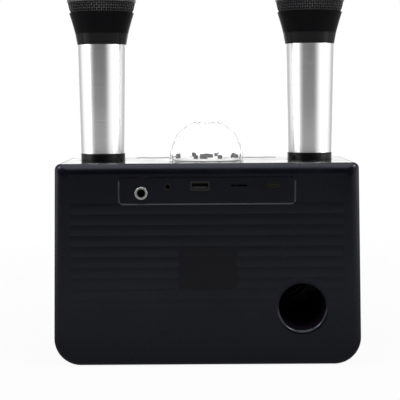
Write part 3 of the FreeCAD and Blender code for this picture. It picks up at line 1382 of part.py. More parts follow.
def mic_barrel():
    tube = turned(
        [
            (BARREL_BOTTOM_RADIUS - BARREL_WALL, BARREL_FOOT),
            (BARREL_BOTTOM_RADIUS, BARREL_FOOT),
            (BARREL_TOP_RADIUS, BARREL_HEAD),
            (BARREL_TOP_RADIUS - BARREL_WALL, BARREL_HEAD),
        ]
    )
    hole = rod_y(0, mic_button_z(), MIC_BUTTON_RADIUS + BUTTON_CLEARANCE, -2 * BARREL_TOP_RADIUS, 0)
    return tube.cut(hole)


def mic_tail():
    """The black tail: a cup for the cell, with a spigot up inside the barrel."""
    top = BARREL_BOTTOM_RADIUS
    spigot = top - BARREL_WALL - SPIGOT_CLEARANCE
    bore = TAIL_BOTTOM_RADIUS - TAIL_WALL
    low = WELL_FLOOR_TOP
    bend = TAIL_END_ROUND * (1 - math.sqrt(0.5))
    return turned(
        [
            (0, low),
            (TAIL_BOTTOM_RADIUS - TAIL_END_ROUND, low),
            ((TAIL_BOTTOM_RADIUS - bend, low + bend), (TAIL_BOTTOM_RADIUS, low + TAIL_END_ROUND)),
            (top, BARREL_FOOT),
            (spigot, BARREL_FOOT),
            (spigot, BARREL_FOOT + SPIGOT_LENGTH),
            (bore, BARREL_FOOT + SPIGOT_LENGTH),
            (bore, low + TAIL_FLOOR),
            (0, low + TAIL_FLOOR),
        ]
    )


def mic_neck():
    """The black flared neck: a collar, a curved flare, a floor and the post that carries the capsule."""
    spigot_foot = BARREL_HEAD - SPIGOT_LENGTH
    spigot = barrel_radius(spigot_foot) - BARREL_WALL - SPIGOT_CLEARANCE
    collar_top = BARREL_HEAD + NECK_COLLAR_HEIGHT
    floor_top = BARREL_HEAD + NECK_FLOOR
    flare_middle = (
        (NECK_COLLAR_RADIUS + NECK_TOP_RADIUS) / 2 - 0.15,
        collar_top + NECK_FLARE_HEIGHT / 2,
    )
    inner_middle = (flare_middle[0] - NECK_WALL, flare_middle[1])
    post_top = NECK_TOP + CAPSULE_ABOVE_NECK
    return turned(
        [
            (0, spigot_foot),
            (spigot, spigot_foot),
            (spigot, BARREL_HEAD),
            (BARREL_TOP_RADIUS, BARREL_HEAD),
            (NECK_COLLAR_RADIUS, collar_top),
            (flare_middle, (NECK_TOP_RADIUS, NECK_TOP)),
            (NECK_TOP_RADIUS - NECK_WALL, NECK_TOP),
            (inner_middle, (NECK_COLLAR_RADIUS - NECK_WALL, collar_top)),
            (BARREL_TOP_RADIUS - NECK_WALL, floor_top),
            (CAPSULE_POST_RADIUS, floor_top),
            (CAPSULE_POST_RADIUS, post_top),
            (0, post_top),
        ]
    )


def mic_grille():
    """The wire ball on the neck, as a thin closed skin with its round band."""
    band_low = NECK_TOP + HEAD_LOWER_HEIGHT
    band_high = band_low + HEAD_BAND_HEIGHT
    crown = band_high + HEAD_DOME_HEIGHT
    proud = HEAD_RADIUS + HEAD_BAND_PROUD
    seat = HEAD_SEAT_RADIUS
    inner_rise = HEAD_DOME_HEIGHT - HEAD_SHEET
    low_middle = ((seat + HEAD_RADIUS) / 2 + 0.4, NECK_TOP + HEAD_LOWER_HEIGHT / 2)
    inner = HEAD_RADIUS - HEAD_SHEET
    return turned(
        [
            (seat - HEAD_SHEET, NECK_TOP),
            (seat, NECK_TOP),
            (low_middle, (HEAD_RADIUS, band_low)),
            (proud, band_low),
            (proud, band_high),
            (HEAD_RADIUS, band_high),
            (ball_middle(HEAD_RADIUS, band_high, HEAD_DOME_HEIGHT), (0, crown)),
            (0, crown - HEAD_SHEET),
            (ball_middle(inner, band_high, inner_rise), (inner, band_high)),
            (inner, band_low),
            ((low_middle[0] - HEAD_SHEET, low_middle[1]), (seat - HEAD_SHEET, NECK_TOP)),
        ]
    )


def mic_capsule():
    low = NECK_TOP + CAPSULE_ABOVE_NECK
    capsule = rod_z(0, 0, CAPSULE_RADIUS, low, low + CAPSULE_HEIGHT)
    return capsule.makeFillet(CAPSULE_HEIGHT / 6, edges_at(capsule, "Z", low + CAPSULE_HEIGHT))


def mic_board():
    """The transmitter board, hung under the neck, with the switch behind the power button."""
    high = BARREL_HEAD - SPIGOT_LENGTH
    front = -MIC_BOARD_FORWARD
    half = MIC_BOARD_WIDTH / 2
    board = block(-half, half, front, front + BOARD_THICKNESS, high - MIC_BOARD_LENGTH, high)
    z = mic_button_z()
    size = SWITCH_SIZE / 2
    body = block(-size, size, front - SWITCH_HEIGHT, front, z - size, z + size)
    bore = rod_y(0, z, SWITCH_BORE_RADIUS, front - SWITCH_HEIGHT - OVERSHOOT, front - SWITCH_HEIGHT + SWITCH_BORE_DEPTH)
    return joined([board, body]).cut(bore)


def mic_cell():
    low = WELL_FLOOR_TOP + TAIL_FLOOR
    cell = rod_z(0, 0, CELL_RADIUS, low, low + MIC_CELL_LENGTH)
    return cell.makeFillet(CELL_RADIUS / 9, edges_at(cell, "Z", low) + edges_at(cell, "Z", low + MIC_CELL_LENGTH))


def mic_button():
    """The power button in the barrel's front, on the same kind of switch as the deck's buttons."""
    z = mic_button_z()
    face = -barrel_radius(z) - MIC_BUTTON_PROUD
    flange_front = -barrel_radius(z) + BARREL_WALL + MIC_BUTTON_FLANGE_SETBACK
    flange_back = flange_front + MIC_BUTTON_FLANGE_THICKNESS
    cap = rod_y(0, z, MIC_BUTTON_RADIUS, face, flange_back)
    cap = cap.makeFillet(MIC_BUTTON_PROUD / 2, edges_at(cap, "Y", face))
    flange = rod_y(0, z, MIC_BUTTON_FLANGE_RADIUS, flange_front, flange_back)
    stem_end = -MIC_BOARD_FORWARD - SWITCH_HEIGHT + SWITCH_ENGAGEMENT
    stem = rod_y(0, z, BUTTON_STEM_RADIUS, flange_front, stem_end)
    return joined([cap, flange, stem])


MIC_PIECES = {
    "barrel": mic_barrel,
    "tail": mic_tail,
    "neck": mic_neck,
    "grille": mic_grille,
    "capsule": mic_capsule,
    "board": mic_board,
    "cell": mic_cell,
    "button": mic_button,
}


def pieces():
    """Every node of the part, by name."""
    nodes = {
        "front_shell": front_shell(),
        "rear_shell": rear_shell(),
        "top_deck": top_deck(),
        "front_grille": front_grille(),
        "rubber_feet": rubber_feet(),
        "case_screws": case_screws(),
        "inner_screws": inner_screws(),
        "rating_label": rating_label(),
        "bass_port_tube": bass_port_tube(),
        "main_board": main_board(),
        "main_board_parts": main_board_parts(),
        "io_board": io_board(),
        "battery_pack": battery_pack(),
        "guitar_jack_socket": guitar_jack_socket(),
        "guitar_jack_nut": guitar_jack_nut(),
        "aux_jack": aux_jack(),
        "usb_socket": usb_socket(),
        "card_slot": card_slot(),
        "charge_socket": charge_socket(),
        "charge_light": charge_light(),
        "control_board": control_board(),
        "push_switches": push_switches(),
        "disco_dome": disco_dome(),
        "disco_hub": disco_hub(),
        "disco_light_cup": disco_light_cup(),
        "disco_light_board": disco_light_board(),
        "disco_lamps": disco_lamps(),
        "disco_motor": disco_motor(),
    }
    for name, x in button_places().items():
        nodes[f"button_{name}"] = button(x)
    for side, x in speaker_places().items():
        nodes[f"speaker_{side}_basket"] = speaker_basket(x)
        nodes[f"speaker_{side}_magnet"] = speaker_magnet(x)
        nodes[f"speaker_{side}_cone"] = speaker_cone(x)
        nodes[f"speaker_{side}_surround"] = speaker_surround(x)
    for side, x in mic_places().items():
        nodes[f"mic_well_{side}"] = mic_well(x)
        for piece, make in MIC_PIECES.items():
            nodes[f"mic_{side}_{piece}"] = moved(make(), x, MIC_Y)
    return nodes


def main():
    os.makedirs("parts", exist_ok=True)
    for name, shape in pieces().items():
        for solid in shape.Solids:
            if not solid.isValid() or solid.Volume <= 0:
                raise ValueError(f"{name} has a solid that is not valid")
        if not shape.Solids:
            raise ValueError(f"{name} has no solid")
        shape.exportStep(f"parts/{name}.step")
        print(f"{name}: {len(shape.Solids)} solid(s), {sum(s.Volume for s in shape.Solids):.1f} mm3")


if __name__ == "__main__":
    main()
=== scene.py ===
"""Karaoke machine: grille, wire heads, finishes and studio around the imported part.

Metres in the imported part's own frame: +Z is up, the grille faces -Y and the connectors face +Y.
Shapes are worked out in millimetres and scaled once, when they become meshes.
"""
import math

import bpy
import numpy as np
from bpy.props import FloatProperty, FloatVectorProperty, IntProperty, PointerProperty
from mathutils import Matrix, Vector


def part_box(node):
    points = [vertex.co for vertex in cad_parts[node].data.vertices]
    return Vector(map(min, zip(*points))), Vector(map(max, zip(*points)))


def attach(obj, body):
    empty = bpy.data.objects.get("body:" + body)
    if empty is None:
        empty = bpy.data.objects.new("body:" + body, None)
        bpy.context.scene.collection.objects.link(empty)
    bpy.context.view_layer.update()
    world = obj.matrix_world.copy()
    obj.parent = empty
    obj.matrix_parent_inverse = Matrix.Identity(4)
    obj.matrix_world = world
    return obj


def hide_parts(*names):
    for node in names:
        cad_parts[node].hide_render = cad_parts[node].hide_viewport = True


bl_info = {
    "name": "Karaoke Machine Looks",
    "version": (1, 0, 0),
    "blender": (4, 5, 0),
    "location": "View3D > Sidebar > Karaoke",
    "description": "Grille, wire heads, finishes and studio for the karaoke machine",
    "category": "Object",
}

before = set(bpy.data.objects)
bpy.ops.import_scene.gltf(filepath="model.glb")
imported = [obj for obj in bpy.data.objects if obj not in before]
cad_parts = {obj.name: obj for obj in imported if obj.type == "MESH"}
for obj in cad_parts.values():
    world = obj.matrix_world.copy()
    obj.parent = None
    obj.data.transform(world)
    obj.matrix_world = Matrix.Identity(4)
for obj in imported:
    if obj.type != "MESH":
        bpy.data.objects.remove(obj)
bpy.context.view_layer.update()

MM = 0.001
SIDES = ("left", "right")
BUTTONS = ("mode", "previous", "play", "next", "light")


# Settings


def number_setting(name, description, default, unit="NONE"):
    return FloatProperty(name=name, description=description, default=default, unit=unit)


def length_setting(name, description, default):
    return number_setting(name, description, default, "LENGTH")


def angle_setting(name, description, default):
    return number_setting(name, description, default, "ROTATION")


def colour_setting(name, description, default):
    return FloatVectorProperty(name=name, description=description, default=default, subtype="COLOR")


class KaraokeSizes(bpy.types.PropertyGroup):
    """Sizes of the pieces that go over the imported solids."""

    hole_pitch: length_setting("Hole pitch", "Distance from one grille hole to the next", 0.0044)
    hole_width: length_setting("Hole width", "Width of each round grille hole", 0.003)
    border_width: length_setting("Grille border", "Plain border round the perforated field", 0.0064)
    wire_pitch: length_setting("Wire pitch", "Distance between the woven wires of a head", 0.0019)
    wire_width: length_setting("Wire width", "Thickness of one woven wire", 0.00058)
    icon_lift: length_setting("Icon lift", "How far the key symbols stand out", 0.00012)
    bottom_corner: length_setting("Bottom corner", "Radius of the cabinet's lower corners", 0.02)
    top_corner: length_setting("Top corner", "Radius of the cabinet's upper corners", 0.0045)
    collar_height: length_setting(
        "Collar height", "Height of the lacquered part of a microphone neck", 0.0085
    )
    barrel_foot: length_setting("Barrel foot", "Radius of a microphone barrel at its foot", 0.0174)


class KaraokeFinishes(bpy.types.PropertyGroup):
    """Colours of the finishes, as linear values."""

    shell: colour_setting("Shell", "Satin black cabinet plastic", (0.0012, 0.0014, 0.0032))
    deck: colour_setting("Deck", "Gloss black top deck", (0.0030, 0.0030, 0.0034))
    barrel: colour_setting("Barrel", "Satin silver microphone barrel", (0.94, 0.94, 0.95))
    collar: colour_setting("Collar", "Black microphone plastic", (0.0022, 0.0022, 0.0028))
    wire: colour_setting("Wire", "Black lacquered head wire", (0.035, 0.035, 0.038))
    print_ink: colour_setting("Ink", "Pale symbols on the keys", (0.62, 0.63, 0.65))


class KaraokeStudio(bpy.types.PropertyGroup):
    """Camera, floor and light; the lamps' power is in watts."""

    eye: FloatVectorProperty(
        name="Eye",
        description="Where the camera stands",
        default=(0.0049356, 1.0, 0.2),
        subtype="TRANSLATION",
    )
    yaw: angle_setting("Yaw", "Camera turn from straight at the back", 0.00029)
    pitch: angle_setting("Pitch", "Camera tilt upwards", -0.07846)
    roll: angle_setting("Roll", "Camera roll", -0.00591)
    lens: number_setting("Lens", "Focal length in millimetres", 114.54)
    floor_reach: length_setting("Floor reach", "Radius of the round floor", 0.95)
    sky: number_setting("Sky", "Level of the even light from all round", 0.26)
    softbox_count: IntProperty(
        name="Softboxes", description="Softboxes at the sides of the camera", default=2
    )
    softbox: number_setting("Softbox", "Power of each side softbox", 6.0)
    low_softbox: number_setting("Low softbox", "Power of each low side softbox", 2.0)
    overhead: number_setting("Overhead", "Power of the softbox overhead", 9.5)
    backlight: number_setting("Backlight", "Power of the low softbox beyond the object", 1.5)


# Shapes as arrays of points and faces

SHARP_EDGE = math.radians(35.0)


def box_mm(node):
    """Lowest corner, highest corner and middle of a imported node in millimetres."""
    low, high = np.array(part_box(node)) / MM
    return low, high, (low + high) / 2


def unit(vectors):
    """Vectors of length 1 in the same directions."""
    return vectors / np.linalg.norm(vectors, axis=-1, keepdims=True)


def around(count):
    """Equal angles round a full turn."""
    return np.linspace(0, 2 * np.pi, count, endpoint=False)


def spokes(angle):
    """Flat vectors of length 1 at each angle."""
    return np.stack([np.cos(angle), np.sin(angle)], axis=-1)


def round_z(radius, angle, height):
    """Points at a radius and an angle round the Z axis, at a height."""
    return np.stack(np.broadcast_arrays(radius * np.cos(angle), radius * np.sin(angle), height), axis=-1)


def grid_quads(rows, columns, close_rows=False, close_columns=False):
    """Quads over a grid of points in row order; a closed direction joins its last line to its first."""
    row, column = np.meshgrid(
        np.arange(rows if close_rows else rows - 1),
        np.arange(columns if close_columns else columns - 1),
        indexing="ij",
    )
    row_after, column_after = (row + 1) % rows, (column + 1) % columns
    corners = [(row, column), (row, column_after), (row_after, column_after), (row_after, column)]
    return np.stack([line * columns + place for line, place in corners], axis=-1).reshape(-1, 4)


def combined(*shapes):
    """One shape from several, with the face numbers moved on past the points before them."""
    points, faces, count = [], [], 0
    for shape_points, shape_faces in shapes:
        points.append(shape_points)
        faces.extend(face_set + count for face_set in shape_faces)
        count += len(shape_points)
    return np.concatenate(points), faces


def welded(shape, grain=1e-4):
    """Points that fall on the same grain become one; a quad with a doubled corner becomes a triangle."""
    points, faces = shape
    keys = np.round(points / grain).astype(np.int64)
    kept, where = np.unique(keys, axis=0, return_index=True, return_inverse=True)[1:]
    where = where.ravel()
    result = []
    for face_set in faces:
        face_set = where[face_set]
        if face_set.shape[1] == 4:
            first = face_set[:, 0] == face_set[:, 1]
            last = face_set[:, 2] == face_set[:, 3]
            result.append(face_set[first & ~last][:, 1:])
            result.append(face_set[last & ~first][:, :3])
            face_set = face_set[~first & ~last]
        result.append(face_set)
    return points[kept], [face_set for face_set in result if len(face_set)]


def turned(profile, steps, closed=True):
    """A profile of (radius, height) points carried round the Z axis; it runs upwards on its outside."""
    profile = np.asarray(profile, float)
    points = round_z(profile[:, :1], around(steps), profile[:, 1:])
    quads = grid_quads(len(profile), steps, close_rows=closed, close_columns=True)
    return welded((points.reshape(-1, 3), [quads]))


def tubes(paths, normals, radius, sides, closed=False):
    """Round wires along rows of points: each ring lies in the plane of the wire's normal and binormal."""
    wires, samples = paths.shape[:2]
    if closed:
        tangent = unit(np.roll(paths, -1, axis=1) - np.roll(paths, 1, axis=1))
    else:
        tangent = unit(np.gradient(paths, axis=1))
    across = unit(np.cross(tangent, normals))
    outward = np.cross(across, tangent)
    angle = around(sides)[:, None]
    ring = np.cos(angle) * outward[:, :, None, :] + np.sin(angle) * across[:, :, None, :]
    points = (paths[:, :, None, :] + radius * ring).reshape(-1, 3)
    start = np.arange(wires)[:, None, None] * samples * sides
    faces = [(start + grid_quads(samples, sides, close_rows=closed, close_columns=True)).reshape(-1, 4)]
    if not closed:
        loop = np.arange(sides)
        faces.append((start + loop[::-1]).reshape(-1, sides))
        faces.append((start + (samples - 1) * sides + loop).reshape(-1, sides))
    return points, faces


def plate(flat, faces, origin, right, up, thickness):
    """A flat set of faces in two directions, given a back and side walls along every open edge.

    The front faces the cross product of right and up; the back lies behind it by the thickness."""
    right, up = np.asarray(right, float), np.asarray(up, float)
    front = np.asarray(origin, float) + flat[:, :1] * right + flat[:, 1:] * up
    back = front - np.cross(right, up) * thickness
    count = len(front)
    ends = np.concatenate([np.stack([f, np.roll(f, -1, axis=1)], -1).reshape(-1, 2) for f in faces])
    where, uses = np.unique(np.sort(ends, axis=1), axis=0, return_inverse=True, return_counts=True)[1:]
    rim = ends[uses[where.ravel()] == 1]
    walls = np.stack([rim[:, 0], rim[:, 0] + count, rim[:, 1] + count, rim[:, 1]], axis=1)
    backs = [face_set[:, ::-1] + count for face_set in faces]
    return np.concatenate([front, back]), [*faces, *backs, walls]


def rounded_outline(corners, radii, steps):
    """Points round a convex outline, each corner an arc of its own radius between straight runs."""
    corners, radii = np.asarray(corners, float), np.asarray(radii, float)
    before = unit(np.roll(corners, 1, axis=0) - corners)
    after = unit(np.roll(corners, -1, axis=0) - corners)
    half = np.arccos(np.clip((before * after).sum(axis=1), -1, 1)) / 2
    centre = corners + unit(before + after) * (radii / np.sin(half))[:, None]
    touch = corners + before * (radii / np.tan(half))[:, None] - centre
    start = np.arctan2(touch[:, 1], touch[:, 0])[:, None]
    angle = start + (np.pi - 2 * half)[:, None] * np.linspace(0, 1, steps)
    return (centre[:, None, :] + radii[:, None, None] * spokes(angle)).reshape(-1, 2)


def moved(shape, place):
    points, faces = shape
    return points + np.array(place), faces


def facing_back(shape):
    """A shape turned about Z laid along +Y: its height becomes Y."""
    points, faces = shape
    return np.stack([points[:, 0], points[:, 2], -points[:, 1]], axis=1), faces


def new_object(name, shape, material):
    """An object at the origin with the mesh of a shape given in millimetres."""
    points, faces = shape
    mesh = bpy.data.meshes.new(name)
    mesh.vertices.add(len(points))
    mesh.vertices.foreach_set("co", (points * MM).astype(np.float32).ravel())
    corners = np.concatenate([face_set.ravel() for face_set in faces]).astype(np.int32)
    sizes = np.concatenate([np.full(len(face_set), face_set.shape[1]) for face_set in faces])
    mesh.loops.add(len(corners))
    mesh.loops.foreach_set("vertex_index", corners)
    mesh.polygons.add(len(sizes))
    mesh.polygons.foreach_set("loop_start", (np.cumsum(sizes) - sizes).astype(np.int32))
    mesh.update(calc_edges=True)
    if mesh.validate():
        raise RuntimeError(f"{name} has faces that are not valid")
    mesh.shade_smooth()
    mesh.set_sharp_from_angle(angle=SHARP_EDGE)
    mesh.materials.append(material)
    piece = bpy.data.objects.new(name, mesh)
    bpy.context.scene.collection.objects.link(piece)
    return piece


def put(name, shape, material, body, replaces=()):
    """Makes a piece that rides on its body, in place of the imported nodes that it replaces."""
    piece = new_object(name, shape, material)
    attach(piece, body)
    if replaces:
        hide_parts(*replaces)


def dress(material, *nodes):
    """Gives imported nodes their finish."""
    for node in nodes:
        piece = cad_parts[node]
        if not piece.material_slots:
            piece.data.materials.append(material)
        for material_slot in piece.material_slots:
            material_slot.material = material


# Shader nodes


def feed(tree, node, inputs):
    """Gives a shader node's sockets their values or their links."""
    for name, value in inputs.items():
        if isinstance(value, bpy.types.NodeSocket):
            tree.links.new(value, node.inputs[name])
        else:
            node.inputs[name].default_value = value
    return node


def add(tree, kind, inputs=None, **settings):
    """A shader node with its settings and what feeds it."""
    node = tree.nodes.new(f"ShaderNode{kind}")
    for name, value in settings.items():
        setattr(node, name, value)
    return feed(tree, node, inputs or {})


def maths(tree, operation, *values, clamp=False):
    """The result of one sum on sockets or numbers."""
    return add(tree, "Math", dict(enumerate(values)), operation=operation, use_clamp=clamp).outputs[0]


def vector_maths(tree, operation, *values):
    return add(tree, "VectorMath", dict(enumerate(values)), operation=operation).outputs


def between(tree, share, first, second):
    """The first value where the share is 0 and the second where it is 1."""
    return maths(tree, "MULTIPLY_ADD", share, maths(tree, "SUBTRACT", second, first), first)


def mixed(tree, share, first, second):
    """The first colour where the share is 0 and the second where it is 1."""
    return add(tree, "Mix", {0: share, 6: first, 7: second}, data_type="RGBA").outputs[2]


def ramp(tree, value, start, end, low=0.0, high=1.0, kind="LINEAR"):
    """A value carried from one range to another and held at its ends."""
    inputs = {"Value": value, "From Min": start, "From Max": end, "To Min": low, "To Max": high}
    return add(tree, "MapRange", inputs, interpolation_type=kind).outputs["Result"]


def object_place(tree):
    return add(tree, "TexCoord").outputs["Object"]


def axis_of(tree, vector, axis):
    return add(tree, "SeparateXYZ", {0: vector}).outputs[axis]


def from_middle(tree, node, keep=(1.0, 1.0, 1.0)):
    """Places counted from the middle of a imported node; an axis that isn't kept counts as 0."""
    middle = np.mean(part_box(node), axis=0)
    inputs = {"Vector": object_place(tree), "Location": tuple(-middle * keep), "Scale": keep}
    return add(tree, "Mapping", inputs).outputs["Vector"]


def noise(tree, place, scale, detail=2.0, roughness=0.5):
    """Soft noise between 0 and 1."""
    inputs = {"Vector": place, "Scale": scale, "Detail": detail, "Roughness": roughness}
    return add(tree, "TexNoise", inputs).outputs["Fac"]


def cells(tree, place, scale, randomness=1.0, **settings):
    """Distance to the nearest of scattered points."""
    inputs = {"Vector": place, "Scale": scale, "Randomness": randomness}
    return add(tree, "TexVoronoi", inputs, **settings).outputs["Distance"]


def bump(tree, height, distance, strength=0.6):
    return add(tree, "Bump", {"Height": height, "Distance": distance, "Strength": strength}).outputs["Normal"]


def uneven(tree, level, *swings):
    """A level moved up and down by signals between 0 and 1, each by its own amount."""
    for signal, amount in swings:
        level = maths(tree, "MULTIPLY_ADD", maths(tree, "SUBTRACT", signal, 0.5), amount, level)
    return maths(tree, "ADD", level, 0.0, clamp=True)


def shaded_colour(tree, source, first, second):
    """The colour made lighter or darker by two signals between 0 and 1, as far as the spread lets it."""
    level = maths(tree, "DIVIDE", maths(tree, "ADD", first, second), 2.0)
    swing = maths(tree, "MULTIPLY", source["Spread"], 2.0)
    gain = maths(tree, "MULTIPLY_ADD", maths(tree, "SUBTRACT", level, 0.5), swing, 1.0)
    return add(tree, "HueSaturation", {"Color": source["Colour"], "Value": gain}).outputs["Color"]


def opaque(colour):
    return (*colour, 1.0)


def emptied(owner):
    """The node tree of a material or a world, with nothing in it."""
    owner.use_nodes = True
    owner.node_tree.nodes.clear()
    return owner.node_tree


# Node groups

GREY = (0.5, 0.5, 0.5, 1.0)
SKIN_INPUTS = (("Colour", "Color", GREY), ("Roughness", "Float", 0.5))
DUST_INPUTS = (*SKIN_INPUTS, ("Amount", "Float", 0.02))
GRAIN_INPUTS = (*SKIN_INPUTS, ("Size", "Float", 0.0005), ("Spread", "Float", 0.2))
LINE_INPUTS = (*GRAIN_INPUTS, ("Draw", "Vector", (0.02, 0.02, 1.0)))
BROAD_PATCH = 0.035
DUST_COLOUR = (0.42, 0.41, 0.39, 1.0)
DUST_CLOUDS = 22.0
DUST_SPECKS = 900.0


def node_group(inputs, height=True):
    """Makes a builder of nodes into a function that gives its group, made once under the builder's name.

    The builder gets the group and its inputs, and gives the sockets that feed its outputs."""
    outputs = {"Colour": "Color", "Roughness": "Float"}
    if height:
        outputs["Height"] = "Float"

    def made_by(build):
        def group_of_nodes():
            group = bpy.data.node_groups.get(build.__name__)
            if group is None:
                group = bpy.data.node_groups.new(build.__name__, "ShaderNodeTree")
                for name, kind, value in inputs:
                    new_socket(group, name, kind, "INPUT").default_value = value
                for name, kind in outputs.items():
                    new_socket(group, name, kind, "OUTPUT")
                source = group.nodes.new("NodeGroupInput")
                feed(group, group.nodes.new("NodeGroupOutput"), build(group, source.outputs))
            return group

        return group_of_nodes

    return made_by


def new_socket(group, name, kind, way):
    return group.interface.new_socket(name=name, in_out=way, socket_type=f"NodeSocket{kind}")


@node_group(GRAIN_INPUTS)
def moulded_grain(group, source):
    """Fine pits of a textured mould, over broad patches where the plastic is a little shinier."""
    place = object_place(group)
    scale = maths(group, "DIVIDE", 1.0, source["Size"])
    fine = noise(group, place, scale, 3.0, 0.6)
    broad = noise(group, place, 1.0 / BROAD_PATCH, 4.0, 0.65)
    pits = cells(group, place, scale)
    return {
        "Colour": shaded_colour(group, source, broad, fine),
        "Roughness": uneven(group, source["Roughness"], (broad, 0.22), (fine, 0.08)),
        "Height": maths(group, "MULTIPLY_ADD", pits, 0.5, maths(group, "MULTIPLY", fine, 0.6)),
    }


@node_group(LINE_INPUTS)
def brushed_lines(group, source):
    """Fine lines that a belt or lathe leaves in metal: noise drawn out along directions with a small draw."""
    place = object_place(group)
    drawn = vector_maths(group, "MULTIPLY", place, source["Draw"])["Vector"]
    lines = noise(group, drawn, maths(group, "DIVIDE", 1.0, source["Size"]), 4.0, 0.7)
    broad = noise(group, place, 1.0 / BROAD_PATCH, 3.0)
    return {
        "Colour": shaded_colour(group, source, broad, lines),
        "Roughness": uneven(group, source["Roughness"], (lines, 0.16), (broad, 0.08)),
        "Height": lines,
    }


@node_group(DUST_INPUTS, height=False)
def dust_film(group, source):
    """A thin haze of dust: broad clouds broken up by specks, which pales a colour and dulls its shine."""
    place = object_place(group)
    cloud = ramp(group, noise(group, place, DUST_CLOUDS, 5.0, 0.6), 0.42, 0.72)
    speck = ramp(group, noise(group, place, DUST_SPECKS, 2.0, 0.7), 0.45, 0.8)
    mask = maths(group, "MULTIPLY", maths(group, "MULTIPLY", cloud, speck), source["Amount"], clamp=True)
    return {
        "Colour": mixed(group, mask, source["Colour"], DUST_COLOUR),
        "Roughness": maths(group, "MULTIPLY_ADD", mask, 1.5, source["Roughness"], clamp=True),
    }


# Finishes

SPECULAR = "Specular IOR Level"
WHITE = (1.0, 1.0, 1.0)
REFLECTOR_WHITE = (0.93, 0.93, 0.92)
TINNED = (0.72, 0.71, 0.68)


def new_material(name):
    """An empty material with its Principled shader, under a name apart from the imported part's colours."""
    label = f"{name}_finish"
    material = bpy.data.materials.get(label) or bpy.data.materials.new(label)
    tree = emptied(material)
    shader = add(tree, "BsdfPrincipled")
    add(tree, "OutputMaterial", {"Surface": shader.outputs[0]})
    return material, tree, shader


def textured(name, group, pattern, relief, plain, dust=0.0):
    """A finish whose colour, shine and relief come from a grain or line group; the rest are plain values."""
    material, tree, shader = new_material(name)
    grain = add(tree, "Group", pattern, node_tree=group).outputs
    skin = grain
    if dust:
        haze = {"Colour": grain["Colour"], "Roughness": grain["Roughness"], "Amount": dust}
        skin = add(tree, "Group", haze, node_tree=dust_film()).outputs
    feed(tree, shader, {"Base Color": skin["Colour"], "Roughness": skin["Roughness"], **plain})
    if relief:
        feed(tree, shader, {"Normal": bump(tree, grain["Height"], relief)})
    return material


def plastic(
    name, colour, roughness, size=0.0005, spread=0.25, relief=0.00004, dust=0.0, specular=0.5, sheen=WHITE
):
    pattern = {"Colour": opaque(colour), "Roughness": roughness, "Size": size, "Spread": spread}
    plain = {SPECULAR: specular, "Specular Tint": opaque(sheen)}
    return textured(name, moulded_grain(), pattern, relief, plain, dust)


def metal(name, colour, roughness, size=0.0003, draw=(0.02, 0.02, 1.0), spread=0.12, relief=0.00001):
    pattern = {"Colour": opaque(colour), "Roughness": roughness, "Size": size, "Spread": spread, "Draw": draw}
    return textured(name, brushed_lines(), pattern, relief, {"Metallic": 1.0})


def clear(name, colour, roughness, ior, clarity, ripple=260.0):
    """Clear moulded plastic: light goes through it, a faint ripple bends it and a little haze pales it."""
    material, tree, shader = new_material(name)
    waves = noise(tree, object_place(tree), ripple)
    plain = {"Base Color": opaque(colour), "Roughness": roughness, "IOR": ior, "Transmission Weight": clarity}
    feed(tree, shader, {**plain, "Normal": bump(tree, waves, 0.00006, 0.5)})
    return material


def circuit_board(name, mask_colour, tracks=260.0, pads=190.0):
    """Solder mask with a net of copper tracks under it and tinned pads in it."""
    material, tree, shader = new_material(name)
    place = object_place(tree)
    track = ramp(tree, cells(tree, place, tracks, 0.35, distance="MANHATTAN", feature="F2"), 0.80, 0.84)
    pad = ramp(tree, cells(tree, place, pads, 0.2), 0.17, 0.14)
    over_track = [1.6 * value for value in mask_colour]
    board = mixed(tree, track, opaque(mask_colour), opaque(over_track))
    sockets = {
        "Base Color": mixed(tree, pad, board, opaque(TINNED)),
        "Roughness": maths(tree, "MULTIPLY_ADD", pad, -0.15, 0.42),
        "Metallic": maths(tree, "MULTIPLY", pad, 0.9),
        "Normal": bump(tree, track, 0.00004),
    }
    feed(tree, shader, sockets)
    return material


# Stage


def stand(context, name, data, place, right, up, back):
    """A camera or lamp at a place, with its axes along three directions; it looks away from its back."""
    item = bpy.data.objects.new(name, data)
    item.matrix_world = Matrix.Translation(place) @ Matrix([right, up, back]).transposed().to_4x4()
    context.scene.collection.objects.link(item)
    return item


